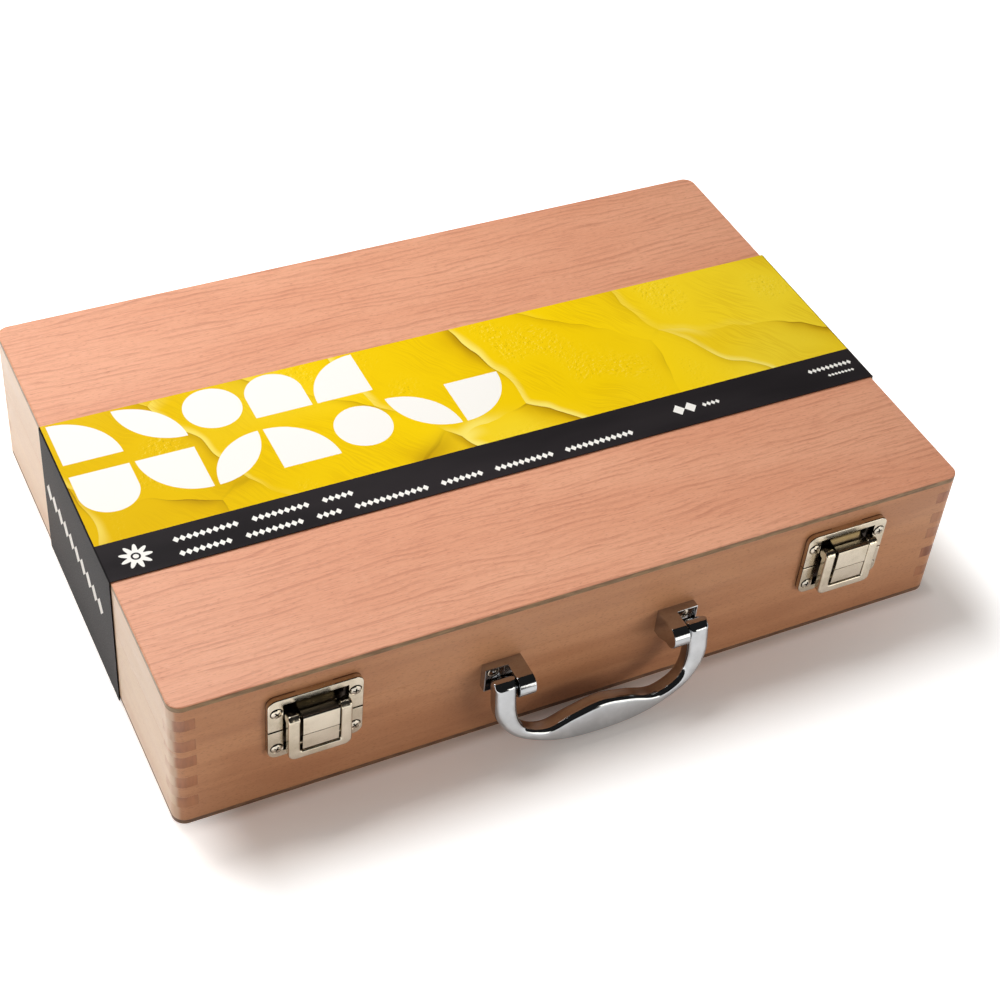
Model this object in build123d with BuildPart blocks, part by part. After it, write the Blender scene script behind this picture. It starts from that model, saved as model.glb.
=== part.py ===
from build123d import *
from math import atan2, cos, degrees, radians, sin
import os

# A wooden paint box, shut, lying flat, with two draw latches and a bail handle on its long front side
# and a card sleeve slipped over its middle. Millimetres; +Z up; the front faces -Y.
# The origin is the middle of the underside.

# Case
case_length = 385.0
case_width = 257.6
base_height = 46.6
lid_height = 28.9
parting_gap = 0.3
wall_thickness = 10.3
panel_thickness = 3.0
corner_radius = 6.0
edge_easing = 0.8
glue_line = 0.05

# Finger joints at the four corners
finger_height = 6.6
finger_pitch = 13.0
finger_edge = 0.9
base_first_finger = 8.5
lid_first_finger = 0.8

# Trays inside the base
divider_thickness = 4.0
divider_height = 30.0
long_divider_place = 38.0
cross_divider_spacing = 124.0
cross_divider_count = 2

# Wood screws
screw_bite = 7.0
screw_shank = 1.2
pilot_clearance = 0.05
cross_slot = 0.7
cross_depth = 0.9
cross_to_head = 1.3

# Draw latches, seen from the front: across, up the wall and out from the wall
latch_end_inset = 61.5
latch_width = 42.6
latch_plate_depth = 3.0
latch_sheet = 0.8
latch_corner = 4.0
latch_rim = 0.4
latch_split = 0.6
lower_plate_height = 16.3
upper_plate_height = 18.6
latch_channel_width = 29.2
latch_channel_foot = 3.4
latch_channel_head = 3.2
latch_screw_spread = 35.0
lower_screw_drop = 10.7
upper_screw_rise = 11.4
latch_screw_head = 2.9
latch_screw_sink = 1.4
latch_screw_crown = 0.5

# The lever, a pressed frame that turns on a pin in two ears of the lower plate
lever_pivot_rise = 8.6
lever_pivot_out = 4.8
lever_pin_radius = 0.9
lever_pin_cover = 0.7
lever_width = 28.4
lever_front = 8.8
lever_sheet = 1.5
lever_flange = 3.1
lever_flange_back = 5.2
lever_bottom_drop = 14.6
lever_bar = 4.4
lever_corner = 3.2
lever_window = 18.0
lever_window_corner = 1.0
lever_rounding = 0.7
lever_eye = 2.4
shoulder_radius = 2.5
shoulder_rise = 0.2
ear_width = 1.4
ear_radius = 2.0
ear_root = 3.7
lever_ear_clearance = 0.4

# The draw link, which hangs in the lever's window and hooks back over the catch
link_width = 16.2
link_sheet = 1.0
link_front = 9.25
link_step = 0.4
link_step_rise = 0.55
link_top_rise = 11.3
link_pivot_drop = 6.0
link_pivot_out = 6.8
link_pin_radius = 0.8
link_barrel = 1.6
link_foot = 2.9
link_tab_back = 4.9
link_bend = 0.7

# The catch, a tongue in the upper plate's channel that ends in a lip in front of the link's tab
catch_width = 16.6
catch_lip_front = 4.5
catch_lip_rise = 11.0
catch_lip_thickness = 0.8
catch_scoop_out = 1.2
catch_scoop_rise = 12.6

# Bail handle on two blocks
handle_block_spacing = 87.5
handle_block_width = 18.7
handle_block_height = 13.6
handle_plate_depth = 4.2
handle_pocket_floor = 1.4
handle_pocket_rim = 0.7
handle_arm_width = 7.9
handle_pivot_height = 40.0
handle_pivot_out = 12.2
handle_nose_radius = 5.4
handle_block_easing = 0.5
handle_pin_radius = 1.6
handle_pin_end = 2.2
handle_screw_head = 3.2
handle_screw_sink = 0.9
handle_screw_crown = 0.9
handle_screw_drop = 0.2
bail_side_clearance = 0.5
bail_leg_width = 10.3
bail_eye_radius = 5.2
bail_thickness = 9.0
bail_rounding = 2.6
bail_lean = 9.0
bail_reach = 39.3
bail_leg_straight = 8.0
bail_corner_inset = 6.9
bail_corner_drop = 24.3
bail_grip_end = 31.3
bail_grip_rise = 5.3
grip_middle_depth = 17.3
grip_hollow_place = 28.0
grip_hollow_depth = 27.8
grip_crest_place = 14.0
grip_crest_depth = 24.4
bail_inner_corner_inset = 4.8
bail_inner_corner_drop = 23.2

# Back hinges
hinge_end_inset = 77.5
hinge_length = 42.0
hinge_leaf = 1.2
hinge_leaf_height = 15.0
hinge_barrel = 2.2
hinge_pin_radius = 1.0
hinge_wall_clearance = 0.4
hinge_knuckles = 3
knuckle_gap = 0.3
hinge_screw_spread = 26.0
hinge_screw_drop = 9.6
hinge_screw_head = 2.1
hinge_screw_sink = 1.0
hinge_screw_crown = 0.15
lid_open_angle = 100.0
stop_lug_length = 4.2
stop_lug_thickness = 1.4
stop_lug_play = 0.15

# Fits
running_clearance = 0.05
snug_clearance = 0.02

# Card sleeve over the middle of the case
sleeve_width = 105.0
sleeve_place = -0.5
sleeve_card = 0.5
sleeve_clearance = 0.3
sleeve_floor_gap = 0.4

half_length = case_length / 2
half_width = case_width / 2
case_height = base_height + lid_height
base_top = base_height - parting_gap / 2
lid_bottom = base_height + parting_gap / 2
lid_wall_top = case_height - panel_thickness
inner_length = case_length - 2 * wall_thickness
inner_width = case_width - 2 * wall_thickness
latch_spacing = case_length - 2 * latch_end_inset
hinge_spacing = case_length - 2 * hinge_end_inset
latch_places = {"left": -latch_spacing / 2, "right": latch_spacing / 2}
handle_sides = {"left": -1, "right": 1}
hinge_places = {"left": -hinge_spacing / 2, "right": hinge_spacing / 2}
lever_pivot_height = base_height + lever_pivot_rise
link_pivot_height = base_height - link_pivot_drop
lever_pin_half_length = lever_width / 2 - lever_pin_cover
ear_middle = lever_width / 2 - lever_flange - lever_ear_clearance - ear_width / 2
lower_screw_height = base_height - lower_screw_drop
upper_screw_height = base_height + upper_screw_rise
arm_outer_face = handle_block_spacing / 2 - handle_block_width / 2 + handle_arm_width
handle_pin_inner_end = arm_outer_face - handle_arm_width + handle_pin_end
leg_inner_face = arm_outer_face + bail_side_clearance
leg_outer_face = leg_inner_face + bail_leg_width
handle_screw_place = (arm_outer_face + handle_block_spacing / 2 + handle_block_width / 2) / 2
handle_screw_height = handle_pivot_height - handle_screw_drop
handle_block_bottom = handle_pivot_height + handle_nose_radius - handle_block_height
handle_pocket_width = handle_block_width - handle_arm_width - handle_pocket_rim
handle_pocket_place = arm_outer_face + handle_pocket_width / 2
hinge_axis_out = hinge_wall_clearance + hinge_barrel
lug_place = -hinge_axis_out + hinge_leaf + stop_lug_play + stop_lug_thickness / 2
hinge_screw_height = {"lower": base_height - hinge_screw_drop, "upper": base_height + hinge_screw_drop}


def front_plane(x=0.0, out=0.0, up=0.0):
    """Faces out of the front wall: local X runs right, local Y up."""
    return Plane(origin=(x, -half_width - out, up), x_dir=(1, 0, 0), z_dir=(0, -1, 0))


def back_plane(x=0.0, out=0.0, up=0.0):
    """Faces out of the back wall: local X runs left, local Y up."""
    return Plane(origin=(x, half_width + out, up), x_dir=(-1, 0, 0), z_dir=(0, 1, 0))


def side_plane(x=0.0):
    """Cuts across the front wall: local X runs out of the wall, local Y up."""
    return Plane(origin=(x, -half_width, 0), x_dir=(0, -1, 0), z_dir=(-1, 0, 0))


def hinge_plane(x=0.0):
    """Cuts across the back wall: local X runs out of the wall, local Y up."""
    return Plane(origin=(x, half_width, 0), x_dir=(0, 1, 0), z_dir=(1, 0, 0))


def save(piece, name):
    piece.part.label = name
    export_step(piece.part, f"parts/{name}.step")


def finger_bottoms(first, high):
    """Heights of the undersides of the side walls' fingers, from the first up to the wall's top."""
    count = int((high - finger_edge - finger_height - first) / finger_pitch) + 1
    return [first + finger_pitch * step for step in range(count)]


def long_wall(name, side, low, high, first_finger, plane, screw_holes):
    """Front or back wall: full length, slotted at both ends, drilled for the screws."""
    wall_y = side * (half_width - wall_thickness / 2)
    with BuildPart() as wall:
        with BuildSketch(Plane.XY.offset(low)):
            RectangleRounded(case_length, case_width, corner_radius)
        extrude(amount=high - low)
        with BuildSketch(Plane.XY.offset(low)):
            with Locations((0, wall_y)):
                Rectangle(case_length, wall_thickness)
        extrude(amount=high - low, mode=Mode.INTERSECT)
        for bottom in finger_bottoms(first_finger, high):
            for end in (-1, 1):
                slot_x = end * (half_length - wall_thickness / 2)
                with Locations((slot_x, wall_y, bottom + finger_height / 2)):
                    Box(
                        wall_thickness + 2 * glue_line,
                        wall_thickness + 2 * glue_line,
                        finger_height + 2 * glue_line,
                        mode=Mode.SUBTRACT,
                    )
        with BuildSketch(plane):
            with Locations(*screw_holes):
                Circle(screw_shank + pilot_clearance)
        extrude(amount=-(screw_bite + pilot_clearance), mode=Mode.SUBTRACT)
    save(wall, name)


def end_wall(name, side, low, high, first_finger):
    """Left or right wall: stands between the long walls, its fingers reaching their outer faces."""
    middle = side * (half_length - wall_thickness / 2)
    with BuildPart() as wall:
        with Locations((middle, 0, (low + high) / 2)):
            Box(wall_thickness, inner_width - 2 * glue_line, high - low)
        for bottom in finger_bottoms(first_finger, high):
            with Locations((middle, 0, bottom + finger_height / 2)):
                Box(wall_thickness, case_width, finger_height)
        with BuildSketch(Plane.XY.offset(low)):
            RectangleRounded(case_length, case_width, corner_radius)
        extrude(amount=high - low, mode=Mode.INTERSECT)
    save(wall, name)


def panel(name, low, eased_face):
    """Thin panel over the whole plan, its outer rim eased; eased_face picks the rim."""
    with BuildPart() as board:
        with BuildSketch(Plane.XY.offset(low)):
            RectangleRounded(case_length, case_width, corner_radius)
        extrude(amount=panel_thickness)
        rim = board.faces().sort_by(Axis.Z)[eased_face]
        fillet(rim.edges(), radius=edge_easing)
    save(board, name)


def dividers():
    """One long divider towards the back and short ones from it to the front wall."""
    middle = panel_thickness + divider_height / 2
    with BuildPart() as long_divider:
        with Locations((0, long_divider_place, middle)):
            Box(inner_length - 2 * glue_line, divider_thickness, divider_height)
    save(long_divider, "divider_long")
    front_edge = -half_width + wall_thickness + glue_line
    back_edge = long_divider_place - divider_thickness / 2 - glue_line
    for number in range(cross_divider_count):
        place = (number - (cross_divider_count - 1) / 2) * cross_divider_spacing
        with BuildPart() as cross_divider:
            with Locations((place, (front_edge + back_edge) / 2, middle)):
                Box(divider_thickness, back_edge - front_edge, divider_height)
        save(cross_divider, f"divider_cross_{number + 1}")


def screw(name, plane, head_radius, sink, crown, bite_from_head):
    """Cross-head wood screw. The plane lies in the face it is sunk in, at its middle."""
    with BuildPart() as wood_screw:
        with BuildSketch(Plane(origin=plane.origin, x_dir=plane.x_dir, z_dir=-plane.y_dir)) as outline:
            with BuildLine():
                head_arc = TangentArc((0, crown), (head_radius, 0), tangent=(1, 0))
                cone = Line(head_arc @ 1, (screw_shank, -sink))
                shank = Line(cone @ 1, (screw_shank, -bite_from_head))
                tip = Line(shank @ 1, (0, -bite_from_head))
                Line(tip @ 1, (0, crown))
            make_face()
        revolve(axis=Axis(plane.origin, plane.z_dir))
        with BuildSketch(Plane(origin=plane.origin, x_dir=plane.x_dir, z_dir=plane.z_dir).offset(crown)):
            Rectangle(head_radius * cross_to_head, cross_slot)
            Rectangle(cross_slot, head_radius * cross_to_head)
        extrude(amount=-cross_depth, mode=Mode.SUBTRACT)
    save(wood_screw, name)


def sink_angle(head_radius, sink):
    return 2 * degrees(atan2(head_radius - screw_shank, sink))


def pair(middle, spread):
    return [middle - spread / 2, middle + spread / 2]


def pressed_plate(x, low, high, corner_row, channel_low, channel_high):
    """Latch plate with two rounded outer corners, an eased rim and a sunk channel in its middle."""
    with BuildPart() as plate:
        with BuildSketch(front_plane(x)) as outline:
            with Locations((0, (low + high) / 2)):
                Rectangle(latch_width, high - low)
            fillet(outline.vertices().group_by(Axis.Y)[corner_row], radius=latch_corner)
        extrude(amount=latch_plate_depth)
        front_face = plate.faces().sort_by(Axis.Y)[0]
        fillet(front_face.edges(), radius=latch_rim)
        with BuildSketch(front_plane(x, latch_sheet)):
            with Locations((0, (channel_low + channel_high) / 2)):
                Rectangle(latch_channel_width, channel_high - channel_low)
        extrude(amount=latch_plate_depth, mode=Mode.SUBTRACT)
    return plate.part


def lower_plate(side, x):
    """Plate on the base, with two ears that reach up in front of the catch and carry the lever."""
    low = base_height - latch_split / 2 - lower_plate_height
    high = base_height - latch_split / 2
    ear_low = base_height - ear_root
    with BuildPart() as plate:
        add(pressed_plate(x, low, high, 0, low + latch_channel_foot, high + latch_channel_head))
        for ear_place in pair(x, 2 * ear_middle):
            with BuildSketch(side_plane(ear_place)):
                with Locations((lever_pivot_out, lever_pivot_height)):
                    Circle(ear_radius)
                with Locations((lever_pivot_out, (ear_low + lever_pivot_height) / 2)):
                    Rectangle(2 * ear_radius, lever_pivot_height - ear_low)
                with Locations(((latch_sheet + lever_pivot_out) / 2, (ear_low + high) / 2)):
                    Rectangle(lever_pivot_out - latch_sheet, high - ear_low)
            extrude(amount=ear_width / 2, both=True)
        with BuildSketch(side_plane(x)):
            with Locations((lever_pivot_out, lever_pivot_height)):
                Circle(lever_pin_radius + snug_clearance)
        extrude(amount=latch_width / 2, both=True, mode=Mode.SUBTRACT)
        with Locations(front_plane(0, latch_plate_depth)):
            with Locations(*[(place, lower_screw_height) for place in pair(x, latch_screw_spread)]):
                CounterSinkHole(
                    radius=screw_shank + pilot_clearance,
                    counter_sink_radius=latch_screw_head + pilot_clearance,
                    depth=2 * latch_plate_depth,
                    counter_sink_angle=sink_angle(latch_screw_head, latch_screw_sink),
                )
    save(plate, f"latch_{side}_lower_plate")


def upper_plate(side, x):
    """Plate on the lid: its channel makes room for the ears and holds the catch."""
    low = base_height + latch_split / 2
    high = low + upper_plate_height
    channel_high = high - latch_channel_head
    lip_low = base_height + catch_lip_rise
    with BuildPart() as plate:
        add(pressed_plate(x, low, high, -1, low - latch_channel_head, channel_high))
        with BuildSketch(side_plane(x)):
            with BuildLine():
                Polyline(
                    (latch_sheet, lip_low),
                    (catch_lip_front, lip_low),
                    (catch_lip_front, lip_low + catch_lip_thickness),
                    (catch_scoop_out, base_height + catch_scoop_rise),
                    (latch_plate_depth, channel_high),
                    (latch_sheet, channel_high),
                    close=True,
                )
            make_face()
        extrude(amount=catch_width / 2, both=True)
        with Locations(front_plane(0, latch_plate_depth)):
            with Locations(*[(place, upper_screw_height) for place in pair(x, latch_screw_spread)]):
                CounterSinkHole(
                    radius=screw_shank + pilot_clearance,
                    counter_sink_radius=latch_screw_head + pilot_clearance,
                    depth=2 * latch_plate_depth,
                    counter_sink_angle=sink_angle(latch_screw_head, latch_screw_sink),
                )
    save(plate, f"latch_{side}_upper_plate")


def lever(side, x):
    """Open-topped frame, flanged down both sides, that curls back to its pivot at both shoulders."""
    low = base_height - lever_bottom_drop
    high = lever_pivot_height + shoulder_rise
    flange_depth = lever_front - lever_sheet - lever_flange_back
    flange_out = lever_flange_back + flange_depth / 2
    with BuildPart() as frame:
        with BuildSketch(front_plane(x, lever_front - lever_sheet)) as outline:
            with Locations((0, (low + high) / 2)):
                Rectangle(lever_width, high - low)
            fillet(outline.vertices().group_by(Axis.Y)[0], radius=lever_corner)
            with BuildSketch(mode=Mode.SUBTRACT) as window:
                with Locations((0, high)):
                    Rectangle(lever_window, 2 * (high - low - lever_bar))
                fillet(window.vertices().group_by(Axis.Y)[0], radius=lever_window_corner)
        extrude(amount=lever_sheet)
        front_edges = frame.faces().sort_by(Axis.Y)[0].edges()
        below_shoulders = front_edges.filter_by(lambda edge: edge.center().Z < high - lever_rounding)
        fillet(below_shoulders, radius=lever_rounding)
        for flange_place in pair(x, lever_width - lever_flange):
            with BuildSketch(side_plane(flange_place)):
                with Locations((flange_out, (low + lever_corner + high) / 2)):
                    Rectangle(flange_depth, high - low - lever_corner)
            extrude(amount=lever_flange / 2, both=True)
            with BuildSketch(side_plane(flange_place)):
                with Locations((lever_pivot_out, lever_pivot_height)):
                    Circle(lever_eye)
                with Locations((lever_front - shoulder_radius, high)):
                    Circle(shoulder_radius)
                make_hull()
            extrude(amount=lever_flange / 2, both=True)
        with BuildSketch(side_plane(x)):
            with Locations((lever_pivot_out, lever_pivot_height)):
                Circle(lever_pin_radius + running_clearance)
            with Locations((link_pivot_out, link_pivot_height)):
                Circle(link_pin_radius + snug_clearance)
        extrude(amount=lever_pin_half_length + snug_clearance, both=True, mode=Mode.SUBTRACT)
    save(frame, f"latch_{side}_lever")


def link(side, x):
    """Draw link: a stepped front panel on a barrel, its top bent back towards the catch."""
    low = link_pivot_height - link_foot
    step = base_height + link_step_rise
    high = base_height + link_top_rise
    with BuildPart() as panel_and_tab:
        with BuildSketch(side_plane(x)) as profile:
            with BuildLine():
                Polyline(
                    (link_front - link_step - link_sheet, low),
                    (link_front - link_step, low),
                    (link_front - link_step, step),
                    (link_front, step),
                    (link_front, high),
                    (link_tab_back, high),
                    (link_tab_back, high - link_sheet),
                    (link_front - link_sheet, high - link_sheet),
                    (link_front - link_sheet, step + link_sheet),
                    (link_front - link_step - link_sheet, step + link_sheet),
                    close=True,
                )
            make_face()
            bend = profile.vertices().sort_by(lambda corner: corner.X + corner.Y)[-1]
            fillet(bend, radius=link_bend)
            with Locations((link_pivot_out, link_pivot_height)):
                Circle(link_barrel)
                Circle(link_pin_radius + running_clearance, mode=Mode.SUBTRACT)
        extrude(amount=link_width / 2, both=True)
    save(panel_and_tab, f"latch_{side}_link")


def cross_pin(name, x, half_length_of_pin, out, height, radius):
    """Plain pin along X, centred on x, at a place in front of the front wall."""
    with BuildPart() as pin:
        with BuildSketch(side_plane(x)):
            with Locations((out, height)):
                Circle(radius)
        extrude(amount=half_length_of_pin, both=True)
    save(pin, name)


def latch(side, x):
    lower_plate(side, x)
    upper_plate(side, x)
    lever(side, x)
    link(side, x)
    lever_pin = f"latch_{side}_lever_pin"
    cross_pin(lever_pin, x, lever_pin_half_length, lever_pivot_out, lever_pivot_height, lever_pin_radius)
    link_pin = f"latch_{side}_link_pin"
    cross_pin(link_pin, x, lever_pin_half_length, link_pivot_out, link_pivot_height, link_pin_radius)
    for row, height in (("lower", lower_screw_height), ("upper", upper_screw_height)):
        for hand, place in zip(("left", "right"), pair(x, latch_screw_spread)):
            face = front_plane(place, latch_plate_depth, height)
            reach = latch_plate_depth + screw_bite
            name = f"latch_{side}_{row}_screw_{hand}"
            screw(name, face, latch_screw_head, latch_screw_sink, latch_screw_crown, reach)


def handle_block(side, hand):
    """Block whose pocket holds its screw and, on the inner side, an arm with a round nose for the pivot."""
    middle = hand * handle_block_spacing / 2
    arm_middle = hand * (arm_outer_face - handle_arm_width / 2)
    bore_half = (arm_outer_face - handle_pin_inner_end) / 2
    plate_middle_height = handle_block_bottom + handle_block_height / 2
    with BuildPart() as block:
        with BuildSketch(front_plane(middle)):
            with Locations((0, plate_middle_height)):
                Rectangle(handle_block_width, handle_block_height)
        extrude(amount=handle_plate_depth)
        with BuildSketch(front_plane(hand * handle_pocket_place, handle_pocket_floor)):
            with Locations((0, plate_middle_height)):
                Rectangle(handle_pocket_width, handle_block_height - 2 * handle_pocket_rim)
        extrude(amount=handle_plate_depth, mode=Mode.SUBTRACT)
        with BuildSketch(side_plane(arm_middle)):
            with Locations((handle_plate_depth / 2, plate_middle_height)):
                Rectangle(handle_plate_depth, handle_block_height)
            with Locations((handle_pivot_out, handle_pivot_height)):
                Circle(handle_nose_radius)
            make_hull()
        extrude(amount=handle_arm_width / 2, both=True)
        arm_sides = block.faces().filter_by(Axis.X).sort_by(Axis.X)
        inner_side = arm_sides[0] if hand > 0 else arm_sides[-1]
        chamfer(inner_side.edges(), length=handle_block_easing)
        with BuildSketch(side_plane(hand * (handle_pin_inner_end + bore_half))):
            with Locations((handle_pivot_out, handle_pivot_height)):
                Circle(handle_pin_radius + snug_clearance)
        extrude(amount=bore_half + snug_clearance, both=True, mode=Mode.SUBTRACT)
        with Locations(front_plane(0, handle_pocket_floor)):
            with Locations((hand * handle_screw_place, handle_screw_height)):
                CounterSinkHole(
                    radius=screw_shank + pilot_clearance,
                    counter_sink_radius=handle_screw_head + pilot_clearance,
                    depth=2 * handle_plate_depth,
                    counter_sink_angle=sink_angle(handle_screw_head, handle_screw_sink),
                )
    save(block, f"handle_{side}_block")


def bail():
    """Swinging handle: two flat legs on the pivots and a grip that is deepest in its middle."""
    lean = radians(bail_lean)
    pivot = (0, -half_width - handle_pivot_out, handle_pivot_height)
    leaning = Plane(origin=pivot, x_dir=(1, 0, 0), z_dir=(0, -cos(lean), sin(lean)))
    grip_middle = bail_reach - grip_middle_depth
    leg_middle = (leg_inner_face + leg_outer_face) / 2
    with BuildPart() as swinging:
        with BuildSketch(leaning):
            with BuildLine() as half_outline:
                outer_leg = Line((leg_outer_face, 0), (leg_outer_face, -bail_leg_straight))
                outer_curve = Spline(
                    outer_leg @ 1,
                    (leg_outer_face - bail_corner_inset, -bail_corner_drop),
                    (bail_grip_end, bail_grip_rise - bail_reach),
                    (0, -bail_reach),
                    tangents=((0, -1), (-1, 0)),
                )
                middle_cut = Line(outer_curve @ 1, (0, -grip_middle))
                inner_curve = Spline(
                    middle_cut @ 1,
                    (grip_crest_place, -grip_crest_depth),
                    (grip_hollow_place, -grip_hollow_depth),
                    (leg_inner_face - bail_inner_corner_inset, -bail_inner_corner_drop),
                    (leg_inner_face, -bail_leg_straight),
                    tangents=((1, 0), (0, 1)),
                )
                inner_leg = Line(inner_curve @ 1, (leg_inner_face, 0))
                Line(inner_leg @ 1, (leg_outer_face, 0))
            make_face()
            mirror(about=Plane.YZ)
        extrude(amount=bail_thickness / 2, both=True)
        long_edges = swinging.edges().filter_by(GeomType.BSPLINE)
        fillet(long_edges, radius=bail_rounding)
        for hand in (-1, 1):
            with BuildSketch(side_plane(hand * leg_middle)):
                with Locations((handle_pivot_out, handle_pivot_height)):
                    Circle(bail_eye_radius)
            extrude(amount=bail_leg_width / 2, both=True)
            bore_half = (leg_outer_face - handle_pin_end - leg_inner_face) / 2
            with BuildSketch(side_plane(hand * (leg_inner_face + bore_half))):
                with Locations((handle_pivot_out, handle_pivot_height)):
                    Circle(handle_pin_radius + running_clearance)
            extrude(amount=bore_half + running_clearance, both=True, mode=Mode.SUBTRACT)
    save(swinging, "handle_bail")


def handle():
    for side, hand in handle_sides.items():
        handle_block(side, hand)
        pin_middle = hand * (handle_pin_inner_end + leg_outer_face - handle_pin_end) / 2
        pin_half = (leg_outer_face - handle_pin_end - handle_pin_inner_end) / 2
        name = f"handle_{side}_pin"
        cross_pin(name, pin_middle, pin_half, handle_pivot_out, handle_pivot_height, handle_pin_radius)
        face = front_plane(hand * handle_screw_place, handle_pocket_floor, handle_screw_height)
        reach = handle_pocket_floor + screw_bite
        screw(f"handle_{side}_screw", face, handle_screw_head, handle_screw_sink, handle_screw_crown, reach)
    bail()


def knuckle_spans(owner):
    """Middle and length of each knuckle along X; the lower leaf owns the first, third and so on."""
    pitch = hinge_length / hinge_knuckles
    first = 0 if owner == "lower" else 1
    places = [(step + 0.5) * pitch - hinge_length / 2 for step in range(hinge_knuckles)]
    return places[first::2], pitch - knuckle_gap


def hinge_leaf_piece(side, x, owner):
    """Leaf on the back wall with its knuckles, cut away round the other leaf's knuckles."""
    turn = -1 if owner == "lower" else 1
    near = base_height + turn * parting_gap / 2
    far = base_height + turn * hinge_leaf_height
    own_places, knuckle_length = knuckle_spans(owner)
    other_places = knuckle_spans("upper" if owner == "lower" else "lower")[0]
    axis_point = (hinge_axis_out, base_height)
    with BuildPart() as leaf:
        with BuildSketch(back_plane(x)):
            with Locations((0, (near + far) / 2)):
                Rectangle(hinge_length, abs(far - near))
        extrude(amount=hinge_leaf)
        for place in other_places:
            with BuildSketch(hinge_plane(x + place)):
                with Locations(axis_point):
                    Circle(hinge_barrel + knuckle_gap)
            extrude(amount=knuckle_length / 2 + knuckle_gap, both=True, mode=Mode.SUBTRACT)
        for place in own_places:
            with BuildSketch(hinge_plane(x + place)):
                with Locations(axis_point):
                    Circle(hinge_barrel)
                with Locations((hinge_axis_out / 2, (near + base_height + turn * hinge_barrel) / 2)):
                    Rectangle(hinge_axis_out, hinge_barrel - parting_gap / 2)
                if owner == "upper":
                    with Locations(Location((*axis_point, 0), (0, 0, lid_open_angle))):
                        with Locations((lug_place, -stop_lug_length / 2)):
                            Rectangle(stop_lug_thickness, stop_lug_length)
            extrude(amount=knuckle_length / 2, both=True)
        with BuildSketch(hinge_plane(x)):
            with Locations(axis_point):
                Circle(hinge_pin_radius + (snug_clearance if owner == "lower" else running_clearance))
        extrude(amount=hinge_length, both=True, mode=Mode.SUBTRACT)
        with Locations(back_plane(0, hinge_leaf)):
            with Locations(*[(-place, hinge_screw_height[owner]) for place in pair(x, hinge_screw_spread)]):
                CounterSinkHole(
                    radius=screw_shank + pilot_clearance,
                    counter_sink_radius=hinge_screw_head + pilot_clearance,
                    depth=2 * hinge_leaf,
                    counter_sink_angle=sink_angle(hinge_screw_head, hinge_screw_sink),
                )
    save(leaf, f"hinge_{side}_{owner}_leaf")


def hinge(side, x):
    for owner in ("lower", "upper"):
        hinge_leaf_piece(side, x, owner)
        for hand, place in zip(("left", "right"), pair(x, hinge_screw_spread)):
            face = back_plane(place, hinge_leaf, hinge_screw_height[owner])
            reach = hinge_leaf + screw_bite
            name = f"hinge_{side}_{owner}_screw_{hand}"
            screw(name, face, hinge_screw_head, hinge_screw_sink, hinge_screw_crown, reach)
    with BuildPart() as pin:
        with BuildSketch(hinge_plane(x)):
            with Locations((hinge_axis_out, base_height)):
                Circle(hinge_pin_radius)
        extrude(amount=hinge_length / 2, both=True)
    save(pin, f"hinge_{side}_pin")


def card_sleeve():
    """Card wrapped over the top and down both ends; its strip under the case is left out."""
    inner_half = half_length + sleeve_clearance
    outer_half = inner_half + sleeve_card
    inner_top = case_height + sleeve_clearance
    outer_top = inner_top + sleeve_card
    with BuildPart() as sleeve:
        with BuildSketch(Plane.XZ.offset(-sleeve_place)):
            with Locations((0, (sleeve_floor_gap + outer_top) / 2)):
                Rectangle(2 * outer_half, outer_top - sleeve_floor_gap)
            with Locations((0, inner_top / 2)):
                Rectangle(2 * inner_half, inner_top, mode=Mode.SUBTRACT)
        extrude(amount=sleeve_width / 2, both=True)
    save(sleeve, "card_sleeve")


def wooden_case():
    latch_rows = [place for x in latch_places.values() for place in pair(x, latch_screw_spread)]
    hinge_rows = [-place for x in hinge_places.values() for place in pair(x, hinge_screw_spread)]
    base_front_holes = [(place, lower_screw_height) for place in latch_rows]
    base_front_holes += [(place, handle_screw_height) for place in pair(0, 2 * handle_screw_place)]
    lid_front_holes = [(place, upper_screw_height) for place in latch_rows]
    base_back_holes = [(place, hinge_screw_height["lower"]) for place in hinge_rows]
    lid_back_holes = [(place, hinge_screw_height["upper"]) for place in hinge_rows]
    base_finger = panel_thickness + base_first_finger
    lid_finger = lid_bottom + lid_first_finger
    panel("base_bottom_panel", 0, 0)
    panel("lid_top_panel", lid_wall_top, -1)
    long_wall("base_front_wall", -1, panel_thickness, base_top, base_finger, front_plane(), base_front_holes)
    long_wall("base_back_wall", 1, panel_thickness, base_top, base_finger, back_plane(), base_back_holes)
    long_wall("lid_front_wall", -1, lid_bottom, lid_wall_top, lid_finger, front_plane(), lid_front_holes)
    long_wall("lid_back_wall", 1, lid_bottom, lid_wall_top, lid_finger, back_plane(), lid_back_holes)
    for side, hand in handle_sides.items():
        end_wall(f"base_{side}_wall", hand, panel_thickness, base_top, base_finger)
        end_wall(f"lid_{side}_wall", hand, lid_bottom, lid_wall_top, lid_finger)


os.makedirs("parts", exist_ok=True)
wooden_case()
dividers()
for latch_side, latch_place in latch_places.items():
    latch(latch_side, latch_place)
handle()
for hinge_side, hinge_place in hinge_places.items():
    hinge(hinge_side, hinge_place)
card_sleeve()
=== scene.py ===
import bpy, bmesh
from math import atan2, cos, dist, pi, radians, sin
from mathutils import Matrix, Vector


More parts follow.
